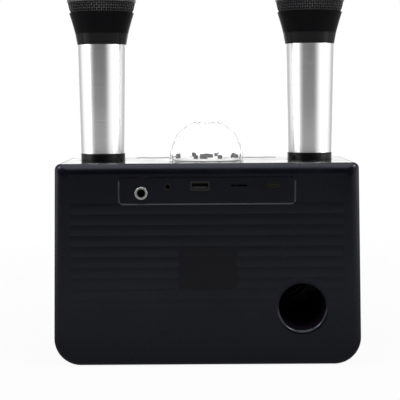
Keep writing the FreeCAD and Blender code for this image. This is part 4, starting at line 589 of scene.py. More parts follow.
class KARAOKE_OT_stage(bpy.types.Operator):
    """Camera facing the back, a round pale floor, softboxes round the object and an even white surround"""

    bl_idname = "karaoke.stage"
    bl_label = "Stage"

    sensor_width = 36.0
    floor_steps = 96
    floor_paint = 0.62
    # Shiny faces see the floor brighten with its distance along Y
    mirror_reach = (0.05, 0.45)
    mirror_level = (0.36, 0.84)
    # Near the object a little paint shows through the white, and with it the shadow
    shadow_reach = 0.2
    shadow_white = 0.94
    # The dark end of the room: its turn from +Y, its side and top edges, and the glow at its foot
    dark_turn = math.radians(9.0)
    dark_sides = (0.58, 0.92)
    dark_top = (0.75, 0.45)
    glow_height = (-0.15, 0.0)
    glow_level = (0.62, 0.0)
    # Grey flags beyond the object, left and right of straight ahead
    flag_near = (-0.30, -0.55)
    flag_far = (-0.98, -0.88)
    flag_depth = -0.45
    # Each softbox has its place, and its width and height; the first two stand on both sides
    side_box = (0.79, 0.76, 0.94), (0.28, 0.32)
    low_box = (1.2, 0.36, 0.30), (0.60, 0.70)
    overhead_box = (0.0, 0.50, 1.25), (0.9, 1.6)
    beyond_box = (0.0, -1.3, 0.33), (1.7, 0.55)
    lamp_aim = (0.0, 0.0, 0.12)

    def execute(self, context):
        studio = context.scene.karaoke_studio
        context.scene.view_settings.view_transform = "Standard"
        self.camera(context, studio)
        self.floor(studio)
        self.world(context, studio)
        self.softboxes(context, studio)
        return {"FINISHED"}

    def camera(self, context, studio):
        level_reach = math.cos(studio.pitch)
        sideways, ahead = math.sin(studio.yaw) * level_reach, -math.cos(studio.yaw) * level_reach
        forward = np.array([sideways, ahead, math.sin(studio.pitch)])
        level = unit(np.cross(forward, [0, 0, 1.0]))
        upright = np.cross(level, forward)
        right = level * math.cos(studio.roll) + upright * math.sin(studio.roll)
        data = bpy.data.cameras.new("camera")
        data.sensor_fit = "HORIZONTAL"
        data.sensor_width = self.sensor_width
        data.lens = studio.lens
        up = np.cross(right, forward)
        context.scene.camera = stand(context, "camera", data, studio.eye, right, up, -forward)

    def looked_at(self, tree, path):
        """1 for what the camera sees, straight or through the dome, and 0 for other light."""
        return maths(tree, "MAXIMUM", path["Is Camera Ray"], path["Is Transmission Ray"])

    def floor(self, studio):
        """A flat round floor, grey paint for the light that falls on it and white where it is looked at."""
        material = bpy.data.materials.new("floor_white")
        tree = emptied(material)
        path = add(tree, "LightPath").outputs
        glossy = path["Is Glossy Ray"]
        place = object_place(tree)
        mirrored = ramp(tree, axis_of(tree, place, "Y"), *self.mirror_reach, *self.mirror_level)
        away = vector_maths(tree, "LENGTH", place)["Value"]
        white = ramp(tree, away, self.shadow_reach, studio.floor_reach, self.shadow_white)
        seen = maths(tree, "MAXIMUM", self.looked_at(tree, path), glossy)
        paint = add(tree, "BsdfDiffuse", {"Color": opaque([self.floor_paint] * 3)})
        strength = between(tree, glossy, 1.0, mirrored)
        glow = add(tree, "Emission", {"Color": opaque(WHITE), "Strength": strength})
        share = maths(tree, "MULTIPLY", seen, white)
        surface = add(tree, "MixShader", {0: share, 1: paint.outputs[0], 2: glow.outputs[0]})
        add(tree, "OutputMaterial", {"Surface": surface.outputs[0]})
        disc = turned([(studio.floor_reach / MM, 0.0), (0.0, 0.0)], self.floor_steps, closed=False)
        floor = new_object("floor", disc, material)

    def world(self, context, studio):
        """White where it is looked at; even light on the object; shiny faces also see a darker end of the
        room behind the camera, which gives the flat back and the barrels' middles something to mirror."""
        world = bpy.data.worlds.new("surround")
        context.scene.world = world
        tree = emptied(world)
        path = add(tree, "LightPath").outputs
        way = add(tree, "TexCoord").outputs["Generated"]
        height = axis_of(tree, way, "Z")
        level_way = vector_maths(tree, "MULTIPLY", way, (1.0, 1.0, 0.0))["Vector"]
        level_way = vector_maths(tree, "NORMALIZE", level_way)["Vector"]
        towards = axis_of(tree, level_way, "Y")
        dark_way = (math.sin(self.dark_turn), math.cos(self.dark_turn), 0.0)
        to_dark = vector_maths(tree, "DOT_PRODUCT", level_way, dark_way)["Value"]
        across = ramp(tree, to_dark, *self.dark_sides, kind="SMOOTHSTEP")
        below = ramp(tree, height, *self.dark_top, kind="SMOOTHSTEP")
        dark = maths(tree, "MULTIPLY", across, below)
        shiny = between(tree, dark, 1.0, ramp(tree, height, *self.glow_height, *self.glow_level))
        near = ramp(tree, towards, *self.flag_near, kind="SMOOTHSTEP")
        far = ramp(tree, towards, *self.flag_far, kind="SMOOTHSTEP")
        shiny = maths(tree, "MULTIPLY_ADD", maths(tree, "MULTIPLY", near, far), self.flag_depth, shiny)
        level = between(tree, path["Is Glossy Ray"], studio.sky, shiny)
        level = between(tree, self.looked_at(tree, path), level, 1.0)
        background = add(tree, "Background", {"Color": opaque(WHITE), "Strength": level})
        add(tree, "OutputWorld", {"Surface": background.outputs[0]})

    def softboxes(self, context, studio):
        for index in range(studio.softbox_count):
            side = 1 - 2 * index
            self.softbox(context, f"softbox_{index}", *self.side_box, studio.softbox, side)
            self.softbox(context, f"softbox_low_{index}", *self.low_box, studio.low_softbox, side)
        self.softbox(context, "softbox_overhead", *self.overhead_box, studio.overhead)
        self.softbox(context, "softbox_beyond", *self.beyond_box, studio.backlight)

    def softbox(self, context, name, place, size, power, side=1):
        """A rectangular lamp that faces the middle of the object; side -1 mirrors its place."""
        data = bpy.data.lights.new(name, "AREA")
        data.shape = "RECTANGLE"
        data.size, data.size_y = size
        data.energy = power
        place = np.array(place) * (side, 1, 1)
        back = unit(place - self.lamp_aim)
        right = unit(np.cross([0, 0, 1.0], back))
        stand(context, name, data, place, right, np.cross(back, right), back)


# Pieces


class KARAOKE_OT_cabinet(bpy.types.Operator):
    """Satin shells, gloss deck, rubber feet, screws, label film and the bass port"""

    bl_idname = "karaoke.cabinet"
    bl_label = "Cabinet"

    shell_sheen = (0.86, 0.88, 1.0)
    screw_draw = (1.0, 0.1, 1.0)

    def execute(self, context):
        finishes = context.scene.karaoke_finishes
        satin = {"size": 0.0006, "relief": 0.000006}
        shell = plastic(
            "satin_black_shell",
            finishes.shell,
            0.26,
            **satin,
            dust=0.003,
            specular=0.27,
            sheen=self.shell_sheen,
        )
        tube = plastic("port_tube", (0.006, 0.003, 0.008), 0.34, **satin, specular=0.3)
        gloss = {"relief": 0.000003, "dust": 0.006, "specular": 0.7}
        deck = plastic("gloss_black_deck", finishes.deck, 0.17, size=0.004, **gloss)
        rubber = plastic("foot_rubber", [0.012] * 3, 0.85, size=0.0012, relief=0.0001, specular=0.25)
        film = plastic("label_film", (0.0010, 0.0011, 0.0022), 0.32, 0.003, relief=0.000003, specular=0.22)
        dress(shell, "front_shell", "rear_shell", "mic_well_left", "mic_well_right")
        dress(tube, "bass_port_tube")
        dress(deck, "top_deck")
        dress(rubber, "rubber_feet")
        dress(film, "rating_label")
        dress(metal("zinc_screw", (0.42, 0.42, 0.43), 0.38, draw=self.screw_draw), "case_screws")
        dress(metal("black_screw", (0.02, 0.02, 0.021), 0.42, draw=self.screw_draw), "inner_screws")
        return {"FINISHED"}


def cabinet_corners(inset, sizes):
    """The cabinet's four corners in X and Z drawn in by an inset, with the radius of each corner."""
    shell_low, shell_high, _ = box_mm("front_shell")
    deck_low, deck_high, _ = box_mm("top_deck")
    bottom_radius, top_radius = sizes.bottom_corner / MM, sizes.top_corner / MM
    top_half = deck_high[0] + deck_low[1] - shell_low[1]
    lean = (shell_high[0] - top_half) / (shell_high[2] - shell_low[2] - bottom_radius)
    base, top = shell_low[2] + inset, shell_high[2] - inset
    low_half = top_half + lean * (shell_high[2] - base) - inset
    high_half = top_half + lean * (shell_high[2] - top) - inset
    corners = [(-low_half, base), (low_half, base), (high_half, top), (-high_half, top)]
    low_radius, high_radius = max(bottom_radius - inset, 1.0), max(top_radius - inset, 1.0)
    return np.array(corners), np.array([low_radius, low_radius, high_radius, high_radius])


def depth_inside(places, corners, radii):
    """How far each place is inside a rounded outline: the least distance to its sides and corner arcs."""
    after = unit(np.roll(corners, -1, axis=0) - corners)
    inward = np.stack([-after[:, 1], after[:, 0]], axis=1)
    sides = ((places[:, None, :] - corners) * inward).sum(axis=-1)
    depth = sides.min(axis=1)
    for index, radius in enumerate(radii):
        near, behind = sides[:, index], sides[:, index - 1]
        arc = radius - np.hypot(radius - near, radius - behind)
        depth = np.where((near < radius) & (behind < radius), arc, depth)
    return depth


def hole_cells(centres, pitch, hole, sides=12):
    """Six-sided cells round their centres, each with a round hole of twelve sides."""
    here = np.arange(sides)
    spread = spokes(np.radians(here * 360.0 / sides))
    reach = np.where(here % 2 == 0, pitch / 2, pitch / math.sqrt(3))
    outer = centres[:, None, :] + spread * reach[:, None]
    inner = centres[:, None, :] + spread * (hole / 2)
    points = np.concatenate([outer, inner], axis=1).reshape(-1, 2)
    after = (here + 1) % sides
    ring = np.stack([here, after, after + sides, here + sides], axis=1)
    quads = (np.arange(len(centres))[:, None, None] * 2 * sides + ring).reshape(-1, 4)
    flat = np.concatenate([points, np.zeros((len(points), 1))], axis=1)
    flat, faces = welded((flat, [quads]), grain=1e-3)
    return flat[:, :2], faces


class KARAOKE_OT_front_grille(bpy.types.Operator):
    """Perforated sheet in a plain pressed border, in the mouth of the front shell"""

    bl_idname = "karaoke.front_grille"
    bl_label = "Front grille"

    border_proud = 0.2
    border_wall = 1.0
    border_back = 0.85
    corner_steps = 14
    sheet_sink = 0.05
    sheet_thickness = 0.75
    sheet_overlap = 0.2
    lattice_reach = 60

    def execute(self, context):
        sizes = context.scene.karaoke_sizes
        paint = plastic("grille_paint", (0.018, 0.018, 0.019), 0.45, size=0.0004, relief=0.00002, dust=0.01)
        low, high, _ = box_mm("front_grille")
        edge = low[2] - box_mm("front_shell")[0][2]
        face, back = low[1], high[1]
        put("grille_border", self.border(sizes, edge, face, back), paint, "cabinet")
        put("grille_sheet", self.sheet(sizes, edge, face), paint, "cabinet", ["front_grille"])
        return {"FINISHED"}

    def border(self, sizes, edge, face, back):
        """A pressed edge carried round the cabinet's outline: each profile point is a distance in from the
        outline and a depth, and the outline is drawn again at each distance."""
        width = sizes.border_width / MM
        front, rear = face - self.border_proud, face + self.border_back
        profile = [
            (0.0, back),
            (0.0, front + 0.8),
            (0.12, front + 0.36),
            (0.38, front + 0.1),
            (0.8, front),
            (width - 0.35, front),
            (width - 0.1, front + 0.1),
            (width, front + 0.35),
            (width, rear),
            (self.border_wall, rear),
            (self.border_wall, back),
        ]
        rows = []
        for inset, depth in profile:
            line = rounded_outline(*cabinet_corners(edge + inset, sizes), self.corner_steps)
            rows.append(np.stack([line[:, 0], np.full(len(line), depth), line[:, 1]], axis=1))
        quads = grid_quads(len(rows), len(rows[0]), close_rows=True, close_columns=True)
        return np.concatenate(rows), [quads]

    def sheet(self, sizes, edge, face):
        """Round holes on a lattice of equal triangles; cells whose middle lies under the border or in the
        field are kept, so the ragged rim is out of sight."""
        pitch, hole = sizes.hole_pitch / MM, sizes.hole_width / MM
        corners, radii = cabinet_corners(0.0, sizes)
        middle = (corners.min(axis=0) + corners.max(axis=0)) / 2
        count = np.arange(-self.lattice_reach, self.lattice_reach + 1)
        row, column = np.meshgrid(count, count, indexing="ij")
        steps = np.stack([(column + 0.5 * (row % 2)) * pitch, row * (pitch * math.sqrt(3) / 2)], axis=-1)
        places = (middle + steps).reshape(-1, 2)
        covered = edge + sizes.border_width / MM - pitch / math.sqrt(3) - self.sheet_overlap
        flat, faces = hole_cells(places[depth_inside(places, corners, radii) > covered], pitch, hole)
        return plate(flat, faces, (0, face + self.sheet_sink, 0), (1, 0, 0), (0, 0, 1), self.sheet_thickness)


class KARAOKE_OT_drivers(bpy.types.Operator):
    """Paper cones, rubber half rolls and steel baskets behind the grille"""

    bl_idname = "karaoke.drivers"
    bl_label = "Drivers"

    steps = 96
    ring_width = 1.7
    rubber_sheet = 0.55
    seat_gap = 0.02
    roll_gap = 0.05
    cone_lip = 1.5

    def execute(self, context):
        paper = plastic("pressed_paper", (0.016, 0.016, 0.017), 0.8, 0.0016, relief=0.00012, specular=0.2)
        rubber = plastic("roll_rubber", [0.013] * 3, 0.5, 0.0009)
        enamel = plastic("basket_enamel", [0.012] * 3, 0.4, 0.0007, relief=0.00002)
        ferrite = plastic("magnet_ferrite", (0.06, 0.06, 0.065), 0.6, 0.0008, relief=0.00006)
        for side in SIDES:
            dress(paper, f"speaker_{side}_cone")
            dress(enamel, f"speaker_{side}_basket")
            dress(ferrite, f"speaker_{side}_magnet")
            node = f"speaker_{side}_surround"
            low, high, middle = box_mm(node)
            cone_low, cone_high, _ = box_mm(f"speaker_{side}_cone")
            place = (middle[0], high[1], middle[2])
            outer, inner = (high[0] - low[0]) / 2, (cone_high[0] - cone_low[0]) / 2
            profile = self.roll(inner, outer - self.ring_width, high[1] - low[1])
            roll = moved(facing_back(turned(profile, self.steps)), place)
            lip = moved(facing_back(turned(self.lip(outer), self.steps)), place)
            put(f"surround_roll_{side}", roll, rubber, f"speaker_{side}_mover", [node])
            put(f"surround_lip_{side}", lip, rubber, "cabinet")
        return {"FINISHED"}

    def roll(self, inner, outer, rise):
        """A half circle of sheet between two radii, bulging to the front, with a lip on the cone's edge."""
        arc = spokes(np.linspace(0, np.pi, 17))
        reach, sheet = (outer - inner) / 2, self.rubber_sheet
        origin = np.array([(inner + outer) / 2, -self.seat_gap])
        front = origin + arc * (reach - self.roll_gap, self.roll_gap - rise)
        back = origin + arc * (sheet - reach, sheet - rise)
        lip_edge = inner - self.cone_lip
        return np.concatenate([front, [(lip_edge, -sheet), (lip_edge, -self.seat_gap)], back])[::-1]

    def lip(self, outer):
        """The flat outer lip, a low ring with a rounded inner edge."""
        seat = -self.seat_gap
        return [(outer - 1.6, -0.4), (outer - 1.3, -0.62), (outer, -0.6), (outer, seat), (outer - 1.65, seat)]


class KARAOKE_OT_sockets(bpy.types.Operator):
    """Plated and moulded sockets in the connector recess"""

    bl_idname = "karaoke.sockets"
    bl_label = "Sockets"

    lip_depth = 0.0004
    lip_black = (0.004, 0.004, 0.005)
    linings = {"aux_jack": 0.06, "card_slot": 0.3}
    across = (0.05, 1.0, 1.0)
    tongue_half_width = 5.75
    tongue_height = (-2.3, -0.3)
    tongue_corner = 0.25
    tongue_setback = 0.7
    tongue_length = 7.0

    def execute(self, context):
        for node, lining in self.linings.items():
            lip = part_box(node)[1][1] - self.lip_depth
            dress(self.faced(f"{node}_moulding", lip, [lining] * 3, self.lip_black), node)
        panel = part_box("guitar_jack_nut")[0][1]
        bush = self.faced("bush_plating", panel, (0.16, 0.16, 0.13), (0.56, 0.56, 0.55), plated=True)
        nickel = metal("bright_nickel", (0.62, 0.62, 0.61), 0.2, draw=(1.0, 0.05, 1.0), relief=0.000004)
        lens = plastic("charge_lens", (0.004, 0.0015, 0.0015), 0.3, 0.0006, relief=0.0, specular=0.2)
        dress(bush, "guitar_jack_socket")
        dress(nickel, "guitar_jack_nut")
        dress(metal("socket_steel", (0.046, 0.045, 0.042), 0.4, draw=self.across), "usb_socket")
        dress(metal("charge_steel", (0.055, 0.052, 0.038), 0.42, draw=self.across), "charge_socket")
        dress(lens, "charge_light")
        tongue = plastic("tongue_black", (0.012, 0.011, 0.011), 0.45, 0.0006, specular=0.2)
        put("usb_tongue", self.tongue("usb_socket"), tongue, "cabinet")
        return {"FINISHED"}

    def faced(self, name, edge, lining, face, plated=False):
        """One colour in front of a depth and another behind it; plating also makes the front part metal."""
        material, tree, shader = new_material(name)
        place = object_place(tree)
        front = maths(tree, "GREATER_THAN", axis_of(tree, place, "Y"), edge)
        rough = maths(tree, "MULTIPLY_ADD", noise(tree, place, 1400.0), 0.12, 0.44)
        if plated:
            rough = maths(tree, "MULTIPLY_ADD", front, -0.3, rough)
            feed(tree, shader, {"Metallic": front})
        colour = mixed(tree, front, opaque(lining), opaque(face))
        feed(tree, shader, {"Base Color": colour, "Roughness": rough, SPECULAR: 0.2})
        return material

    def tongue(self, node):
        """A rounded bar in X and Z, carried back along Y over the socket's own tongue."""
        _, high, middle = box_mm(node)
        half, (low, top) = self.tongue_half_width, self.tongue_height
        corners = [(-half, low), (half, low), (half, top), (-half, top)]
        line = rounded_outline(corners, [self.tongue_corner] * 4, 5)
        origin = (middle[0], high[1] - self.tongue_setback, middle[2])
        return plate(line, [np.arange(len(line))[None, :]], origin, (-1, 0, 0), (0, 0, 1), self.tongue_length)


class KARAOKE_OT_deck_buttons(bpy.types.Operator):
    """Five push keys with raised symbols"""

    bl_idname = "karaoke.deck_buttons"
    bl_label = "Deck buttons"

    symbol_sink = 0.04
    disc_radius = 0.85
    disc_sides = 24
    ray_count = 8

    def execute(self, context):
        key = plastic("key_plastic", (0.014, 0.014, 0.015), 0.32, size=0.0008, relief=0.00002, dust=0.01)
        ink = plastic("key_ink", context.scene.karaoke_finishes.print_ink, 0.5, size=0.0006)
        lift = context.scene.karaoke_sizes.icon_lift / MM
        for name in BUTTONS:
            node = f"button_{name}"
            dress(key, node)
            _, high, middle = box_mm(node)
            flat, faces = getattr(self, name)()
            origin = (middle[0], middle[1], high[2] + lift - self.symbol_sink)
            shape = plate(flat, faces, origin, (1, 0, 0), (0, 1, 0), lift)
            put(f"symbol_{name}", shape, ink, f"deck_button_{name}")
        return {"FINISHED"}

    def bars(self, *spans):
        """Upright bars from their left, right, low and high sides."""
        points = [
            ((left, low), (right, low), (right, high), (left, high)) for left, right, low, high in spans
        ]
        return np.reshape(points, (-1, 2)), [np.arange(4 * len(spans)).reshape(-1, 4)]

    def arrows(self, *tips):
        """Triangles that point along X, each from its base, its tip and its half height."""
        points = []
        for base, tip, half in tips:
            corners = [(base, -half), (tip, 0.0), (base, half)]
            points.extend(corners if tip > base else corners[::-1])
        return np.array(points), [np.arange(len(points)).reshape(-1, 3)]

    def mode(self):
        return self.bars((-1.6, -0.9, -1.4, 0.2), (-0.35, 0.35, -1.4, 1.4), (0.9, 1.6, -1.4, 0.8))

    def previous(self):
        return combined(self.bars((-2.1, -1.65, -1.2, 1.2)), self.arrows((0.1, -1.6, 1.2), (1.9, 0.2, 1.2)))

    def play(self):
        pause = self.bars((0.6, 1.1, -1.2, 1.2), (1.5, 2.0, -1.2, 1.2))
        return combined(self.arrows((-2.0, 0.1, 1.3)), pause)

    def next(self):
        return combined(self.arrows((-1.9, -0.2, 1.2), (-0.1, 1.6, 1.2)), self.bars((1.65, 2.1, -1.2, 1.2)))

    def light(self):
        """A round disc with short rays at equal angles."""
        disc = self.disc_radius * spokes(around(self.disc_sides))
        ray = np.array([(1.15, -0.13), (1.7, -0.13), (1.7, 0.13), (1.15, 0.13)])
        turn = around(self.ray_count)[:, None]
        rays = ray[:, :1] * spokes(turn) + ray[:, 1:] * spokes(turn + np.pi / 2)
        ray_faces = np.arange(4 * self.ray_count).reshape(-1, 4)
        return combined((disc, [np.arange(self.disc_sides)[None, :]]), (rays.reshape(-1, 2), [ray_faces]))


class KARAOKE_OT_light_dome(bpy.types.Operator):
    """Clear faceted dome over a hub, the pegs that hold it, a ring of tinted lamps and their board"""

    bl_idname = "karaoke.light_dome"
    bl_label = "Light dome"

    dome_ior = 1.12
    dome_clarity = 0.94
    peg_count = 8
    peg_turn = 20.0
    peg_inset = 2.0
    peg_profile = [(0.0, 0.4), (1.7, 0.4), (1.7, 3.8), (1.5, 4.25), (1.1, 4.4), (0.0, 4.45)]
    boss_radius = 0.0058
    boss_black = (0.010, 0.010, 0.011)
    lamp_count = 6
    lamp_tints = ((0.16, 0.025, 0.02), (0.03, 0.12, 0.04), (0.03, 0.045, 0.16))

    def execute(self, context):
        dress(clear("dome_clear", WHITE, 0.02, self.dome_ior, self.dome_clarity), "disco_dome")
        black = plastic("peg_black", (0.020, 0.020, 0.022), 0.4, size=0.0006, specular=0.3)
        put("dome_pegs", self.pegs(), black, "dome")
        white = plastic("reflector_white", REFLECTOR_WHITE, 0.35, size=0.0008, spread=0.05)
        dress(white, "disco_light_cup", "disco_light_board")
        dress(self.hub_colours(), "disco_hub")
        dress(metal("motor_can", (0.5, 0.5, 0.52), 0.3), "disco_motor")
        dress(self.milky_lamps(), "disco_lamps")
        return {"FINISHED"}

    def pegs(self):
        """Short round pegs with a soft top edge, turned from a profile, at equal angles on the ring."""
        low, high, middle = box_mm("disco_hub")
        reach = (high[0] - low[0]) / 2 - self.peg_inset
        foot = box_mm("disco_dome")[0][2]
        peg = turned(self.peg_profile, 16, closed=False)
        angles = np.radians(self.peg_turn + 360.0 * np.arange(self.peg_count) / self.peg_count)
        places = zip(middle[0] + reach * np.sin(angles), middle[1] + reach * np.cos(angles))
        return combined(*(moved(peg, (x, y, foot)) for x, y in places))

    def hub_colours(self):
        """Black on the round boss in the middle and white on the ring, by the distance to the axis."""
        material, tree, shader = new_material("hub_colours")
        away = vector_maths(tree, "LENGTH", from_middle(tree, "disco_hub", (1.0, 1.0, 0.0)))["Value"]
        ring = maths(tree, "GREATER_THAN", away, self.boss_radius)
        colour = mixed(tree, ring, opaque(self.boss_black), opaque(REFLECTOR_WHITE))
        rough = maths(tree, "MULTIPLY_ADD", noise(tree, object_place(tree), 1200.0), 0.14, 0.28)
        feed(tree, shader, {"Base Color": colour, "Roughness": rough})
        return material

    def milky_lamps(self):
        """Milky lenses whose tint goes by their angle round the dome's axis, one step for each lamp."""
        material, tree, shader = new_material("lamp_tints")
        place = from_middle(tree, "disco_lamps")
        turn = add(tree, "TexGradient", {"Vector": place}, gradient_type="RADIAL").outputs["Fac"]
        shifted = maths(tree, "FRACT", maths(tree, "ADD", turn, 0.5 / self.lamp_count))
        tints = add(tree, "ValToRGB", {"Fac": shifted})
        steps = tints.color_ramp.elements
        tints.color_ramp.interpolation = "CONSTANT"
        while len(steps) < self.lamp_count:
            steps.new(0.5)
        for index, step in enumerate(steps):
            step.position = index / self.lamp_count
            step.color = opaque(self.lamp_tints[index % len(self.lamp_tints)])
        rough = maths(tree, "MULTIPLY_ADD", noise(tree, object_place(tree), 900.0), 0.1, 0.18)
        milk = {"Subsurface Weight": 0.3, "Subsurface Scale": 0.001}
        feed(tree, shader, {"Base Color": tints.outputs["Color"], "Roughness": rough, **milk})
        return material


class KARAOKE_OT_microphones(bpy.types.Operator):
    """Silver barrels, black tails and necks, power keys with their rings and lights"""

    bl_idname = "karaoke.microphones"
    bl_label = "Microphones"

    steps = 40
    key_flange = 1.5
    ring_gap = 0.35
    ring_width = 1.3
    light_above_key = 13.0
    light_profile = [(0.0, -0.2), (1.1, -0.2), (1.1, 0.12), (0.8, 0.3), (0.4, 0.38), (0.0, 0.4)]
    lathe_draw = (0.002, 0.002, 1.0)
    coat_weight = 0.22
    coat_roughness = 0.12
    coat_fade = 0.0006

    def execute(self, context):
        sizes, finishes = context.scene.karaoke_sizes, context.scene.karaoke_finishes
        silver = metal("satin_silver", finishes.barrel, 0.24, 0.0004, self.lathe_draw, 0.03, 0.000002)
        satin = {"size": 0.0006, "relief": 0.000006, "dust": 0.003, "specular": 0.22}
        black = plastic("microphone_black", finishes.collar, 0.28, **satin)
        dull = {"size": 0.0005, "relief": 0.000008, "dust": 0.002, "specular": 0.05}
        matte = plastic("microphone_matte", finishes.collar, 0.42, **dull)
        self.lacquer_collar(matte, sizes.collar_height)
        key = plastic("power_key", (0.015, 0.015, 0.016), 0.35, size=0.0006)
        ring = metal("key_ring", (0.62, 0.62, 0.63), 0.2, draw=(1.0, 0.1, 1.0))
        lens = plastic("ready_light", (0.05, 0.30, 0.55), 0.2, size=0.0006, relief=0.0)
        for side in SIDES:
            dress(silver, f"mic_{side}_barrel")
            dress(black, f"mic_{side}_tail")
            dress(matte, f"mic_{side}_neck")
            dress(key, f"mic_{side}_button")
            key_low, key_high, key_middle = box_mm(f"mic_{side}_button")
            height = key_middle[2]
            inner = (key_high[2] - key_low[2]) / 2 - self.key_flange + self.ring_gap
            trim = self.draped(side, sizes, height, self.ring_profile(inner))
            put(f"key_ring_{side}", trim, ring, f"mic_{side}")
            dot = self.draped(side, sizes, height + self.light_above_key, self.light_profile, closed=False)
            put(f"ready_light_{side}", dot, lens, f"mic_{side}")
        return {"FINISHED"}

    def lacquer_collar(self, material, height):
        """A coat of clear lacquer on the lower part of the neck, up to a height above the barrel."""
        tree = material.node_tree
        shader = next(node for node in tree.nodes if node.type == "BSDF_PRINCIPLED")
        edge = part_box("mic_left_barrel")[1][2] + height
        level = axis_of(tree, object_place(tree), "Z")
        coat = ramp(tree, level, edge + self.coat_fade, edge - self.coat_fade, high=self.coat_weight)
        feed(tree, shader, {"Coat Weight": coat, "Coat Roughness": self.coat_roughness})

    def ring_profile(self, inner):
        outer = inner + self.ring_width
        outside = [(outer, -0.25), (outer, 0.1), (outer - 0.25, 0.3)]
        return [*outside, (inner + 0.3, 0.34), (inner, 0.1), (inner, -0.25)]

    def draped(self, side, sizes, height, profile, closed=True):
        """A round profile of (radius, rise) laid on the barrel's front: each point sits on the tapered barrel
        at its own X and Z, and stands out by its rise."""
        low, high, middle = box_mm(f"mic_{side}_barrel")
        top_radius, foot_radius = (high[0] - low[0]) / 2, sizes.barrel_foot / MM
        profile = np.asarray(profile, float)
        x, z = np.moveaxis(profile[:, :1, None] * spokes(around(self.steps)), -1, 0)
        z = z + height
        radius = foot_radius + (top_radius - foot_radius) * (z - low[2]) / (high[2] - low[2])
        y = -np.sqrt(radius**2 - x**2) - profile[:, 1:]
        points = np.stack([middle[0] + x, middle[1] + y, z], axis=-1).reshape(-1, 3)
        quads = grid_quads(len(profile), self.steps, close_rows=closed, close_columns=True)
        return welded((points, [quads]))


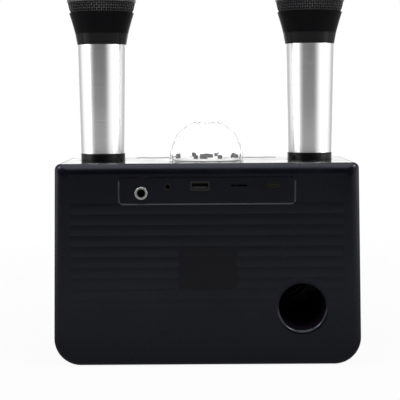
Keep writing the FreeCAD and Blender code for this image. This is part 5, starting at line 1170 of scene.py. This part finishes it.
class KARAOKE_OT_microphone_heads(bpy.types.Operator):
    """Woven wire balls with their bands, over dark foam"""

    bl_idname = "karaoke.microphone_heads"
    bl_label = "Microphone heads"

    lower_height = 8.0
    lower_belly = 1.6
    band_height = 5.0
    band_proud = 0.7
    band_depth = 1.6
    band_steps = 96
    seat_shrink = 2.3
    weave = 0.26
    wire_room = 0.05
    wire_sides = 5
    wire_samples = 128
    meridians = 84
    lower_rings = 4
    foam_depth = 1.4
    foam_inset = 1.5
    foam_foot = 0.15

    def execute(self, context):
        sizes, finishes = context.scene.karaoke_sizes, context.scene.karaoke_finishes
        wire = plastic("head_wire", finishes.wire, 0.32, size=0.0006, relief=0.0)
        band = plastic("head_band", finishes.wire, 0.3, size=0.0006, relief=0.00001)
        foam = plastic("head_foam", [0.006] * 3, 0.95, size=0.0007, relief=0.0003, specular=0.1)
        for side in SIDES:
            low, high, middle = box_mm(f"mic_{side}_grille")
            place = (middle[0], middle[1], low[2])
            radius = (high[0] - low[0]) / 2 - self.band_proud
            rise = high[2] - low[2] - self.lower_height - self.band_height
            pieces = {
                "mesh": (self.mesh(sizes, radius, rise), wire, [f"mic_{side}_grille"]),
                "band": (self.band(radius), band, []),
                "foam": (self.foam(radius, rise), foam, []),
            }
            for piece, (shape, material, replaced) in pieces.items():
                shape = moved(shape, place)
                put(f"head_{piece}_{side}", shape, material, f"mic_{side}", replaced)
        return {"FINISHED"}

    def ball(self, radius, rise):
        """Radius and centre height of the ball through the band's edge and the crown."""
        ball = (radius * radius + rise * rise) / (2 * rise)
        return ball, self.lower_height + self.band_height + rise - ball

    def mesh(self, sizes, radius, rise):
        """Wires laid square in an equal-area map of the ball, over and under by turns, and below the band
        upright wires between rings, over and under by turns."""
        pitch, gauge = sizes.wire_pitch / MM, sizes.wire_width / MM / 2
        ball, centre = self.ball(radius, rise)
        reach = 2 * ball * math.sin(0.5 * math.acos((ball - rise) / ball))
        drawn_in = ball - gauge - self.weave - self.wire_room
        lines = int(reach / pitch)
        fixed = (np.arange(-lines, lines) + 0.5) * pitch
        along = np.linspace(-1, 1, self.wire_samples) * np.sqrt(reach**2 - fixed**2)[:, None]
        fixed_all = np.broadcast_to(fixed[:, None], along.shape)
        parity = (-1.0) ** np.arange(len(fixed))[:, None]
        height = self.weave * parity * np.cos(np.pi * (along / pitch - 0.5))
        shapes = []
        for a, b, sign in ((fixed_all, along, 1), (along, fixed_all, -1)):
            flat = a**2 + b**2
            lean = np.sqrt(1 - flat / (4 * ball**2)) / ball
            normal = np.stack([a * lean, b * lean, 1 - flat / (2 * ball**2)], axis=-1)
            path = normal * (drawn_in + sign * height)[..., None] + np.array([0, 0, centre])
            shapes.append(tubes(path, normal, gauge, self.wire_sides))
        return combined(*shapes, self.uprights(radius, gauge), self.rings(radius, gauge))

    def lower_radius(self, share, radius):
        """The head's radius between the neck and the band: a straight taper with a slight belly."""
        return radius - self.seat_shrink * (1 - share) + self.lower_belly * share * (1 - share)

    def uprights(self, radius, gauge):
        """Wires from the neck to the band, each passing outside one ring and inside the next."""
        share = np.linspace(0.0, 1.0, 25)
        angle = around(self.meridians)[:, None]
        parity = (-1.0) ** np.arange(self.meridians)[:, None]
        weave = self.weave * parity * np.cos(np.pi * (share * self.lower_rings - 0.5))
        out = self.lower_radius(share, radius) - (gauge + self.weave + self.wire_room) + weave
        path = round_z(out, angle, share * self.lower_height)
        return tubes(path, round_z(1.0, angle, 0.0), gauge, self.wire_sides)

    def rings(self, radius, gauge):
        """Level rings between the neck and the band, woven through the uprights."""
        share = ((np.arange(self.lower_rings) + 0.5) / self.lower_rings)[:, None]
        turn = around(self.meridians * 4)
        parity = (-1.0) ** np.arange(self.lower_rings)[:, None]
        out = self.lower_radius(share, radius) - (gauge + self.weave + self.wire_room)
        out = out - self.weave * parity * np.cos(turn * self.meridians / 2)
        path = round_z(out, turn, share * self.lower_height)
        return tubes(path, round_z(1.0, turn, 0.0)[None], gauge, self.wire_sides, closed=True)

    def band(self, radius):
        """A turned band with rounded edges and a groove at half height: a lower half and its mirror."""
        half, proud, inner = self.band_height / 2, radius + self.band_proud, radius - self.band_depth
        lower = [(inner, 0.0), (proud - 0.5, 0.0), (proud - 0.12, 0.2), (proud, 0.6)]
        lower += [(proud, half - 0.5), (proud - 0.25, half - 0.3)]
        upper = [(out, self.band_height - height) for out, height in reversed(lower)]
        return turned(np.array(lower + upper) + (0.0, self.lower_height), self.band_steps)

    def foam(self, radius, rise):
        """A turned dome of foam that fills the wires from inside, closed flat below."""
        ball, centre = self.ball(radius, rise)
        share = np.linspace(0, 1, 6)
        out = self.lower_radius(share, radius) - self.foam_inset
        lower = np.stack([out, self.foam_foot + share * self.lower_height], axis=1)
        angle = np.linspace(math.acos((ball - rise) / ball), 0, 20)
        dome = (0.0, centre) + (ball - self.foam_depth) * spokes(angle)[:, ::-1]
        dome[-1, 0] = 0.0
        return turned(np.concatenate([[(0.0, self.foam_foot)], lower, dome]), 64, closed=False)


class KARAOKE_OT_inside(bpy.types.Operator):
    """Boards, cells and other sealed pieces"""

    bl_idname = "karaoke.inside"
    bl_label = "Inside"

    def execute(self, context):
        green = circuit_board("green_board", (0.012, 0.10, 0.04))
        sleeve = plastic("cell_sleeve", (0.03, 0.09, 0.32), 0.3, size=0.002)
        brass = metal("capsule_brass", (0.60, 0.47, 0.24), 0.3)
        dress(green, "main_board", "io_board", "control_board")
        dress(sleeve, "battery_pack")
        dress(metal("sink_aluminium", (0.72, 0.73, 0.74), 0.4, draw=(1.0, 0.02, 0.4)), "main_board_parts")
        dress(plastic("switch_black", [0.012] * 3, 0.5), "push_switches")
        for side in SIDES:
            dress(green, f"mic_{side}_board")
            dress(sleeve, f"mic_{side}_cell")
            dress(brass, f"mic_{side}_capsule")
        return {"FINISHED"}


# Panel and registration


class KARAOKE_PT_looks(bpy.types.Panel):
    """Lists the steps that dress the karaoke machine"""

    bl_label = "Karaoke machine"
    bl_idname = "KARAOKE_PT_looks"
    bl_space_type = "VIEW_3D"
    bl_region_type = "UI"
    bl_category = "Karaoke"

    def draw(self, context):
        column = self.layout.column()
        for operator in OPERATORS:
            column.operator(operator.bl_idname)
        for group in SETTINGS:
            settings = getattr(context.scene, group)
            for name in settings.bl_rna.properties.keys():
                if name not in ("rna_type", "name"):
                    column.prop(settings, name)


OPERATORS = (
    KARAOKE_OT_stage,
    KARAOKE_OT_cabinet,
    KARAOKE_OT_front_grille,
    KARAOKE_OT_drivers,
    KARAOKE_OT_sockets,
    KARAOKE_OT_deck_buttons,
    KARAOKE_OT_light_dome,
    KARAOKE_OT_microphones,
    KARAOKE_OT_microphone_heads,
    KARAOKE_OT_inside,
)
SETTINGS = {
    "karaoke_sizes": KaraokeSizes,
    "karaoke_finishes": KaraokeFinishes,
    "karaoke_studio": KaraokeStudio,
}


def register():
    for kind in (*SETTINGS.values(), *OPERATORS, KARAOKE_PT_looks):
        bpy.utils.register_class(kind)
    for name, kind in SETTINGS.items():
        setattr(bpy.types.Scene, name, PointerProperty(type=kind))


def unregister():
    for name in SETTINGS:
        delattr(bpy.types.Scene, name)
    for kind in reversed((*SETTINGS.values(), *OPERATORS, KARAOKE_PT_looks)):
        bpy.utils.unregister_class(kind)


def main():
    register()
    for operator in OPERATORS:
        group, name = operator.bl_idname.split(".")
        getattr(getattr(bpy.ops, group), name)()


if __name__ == "__main__":
    main()
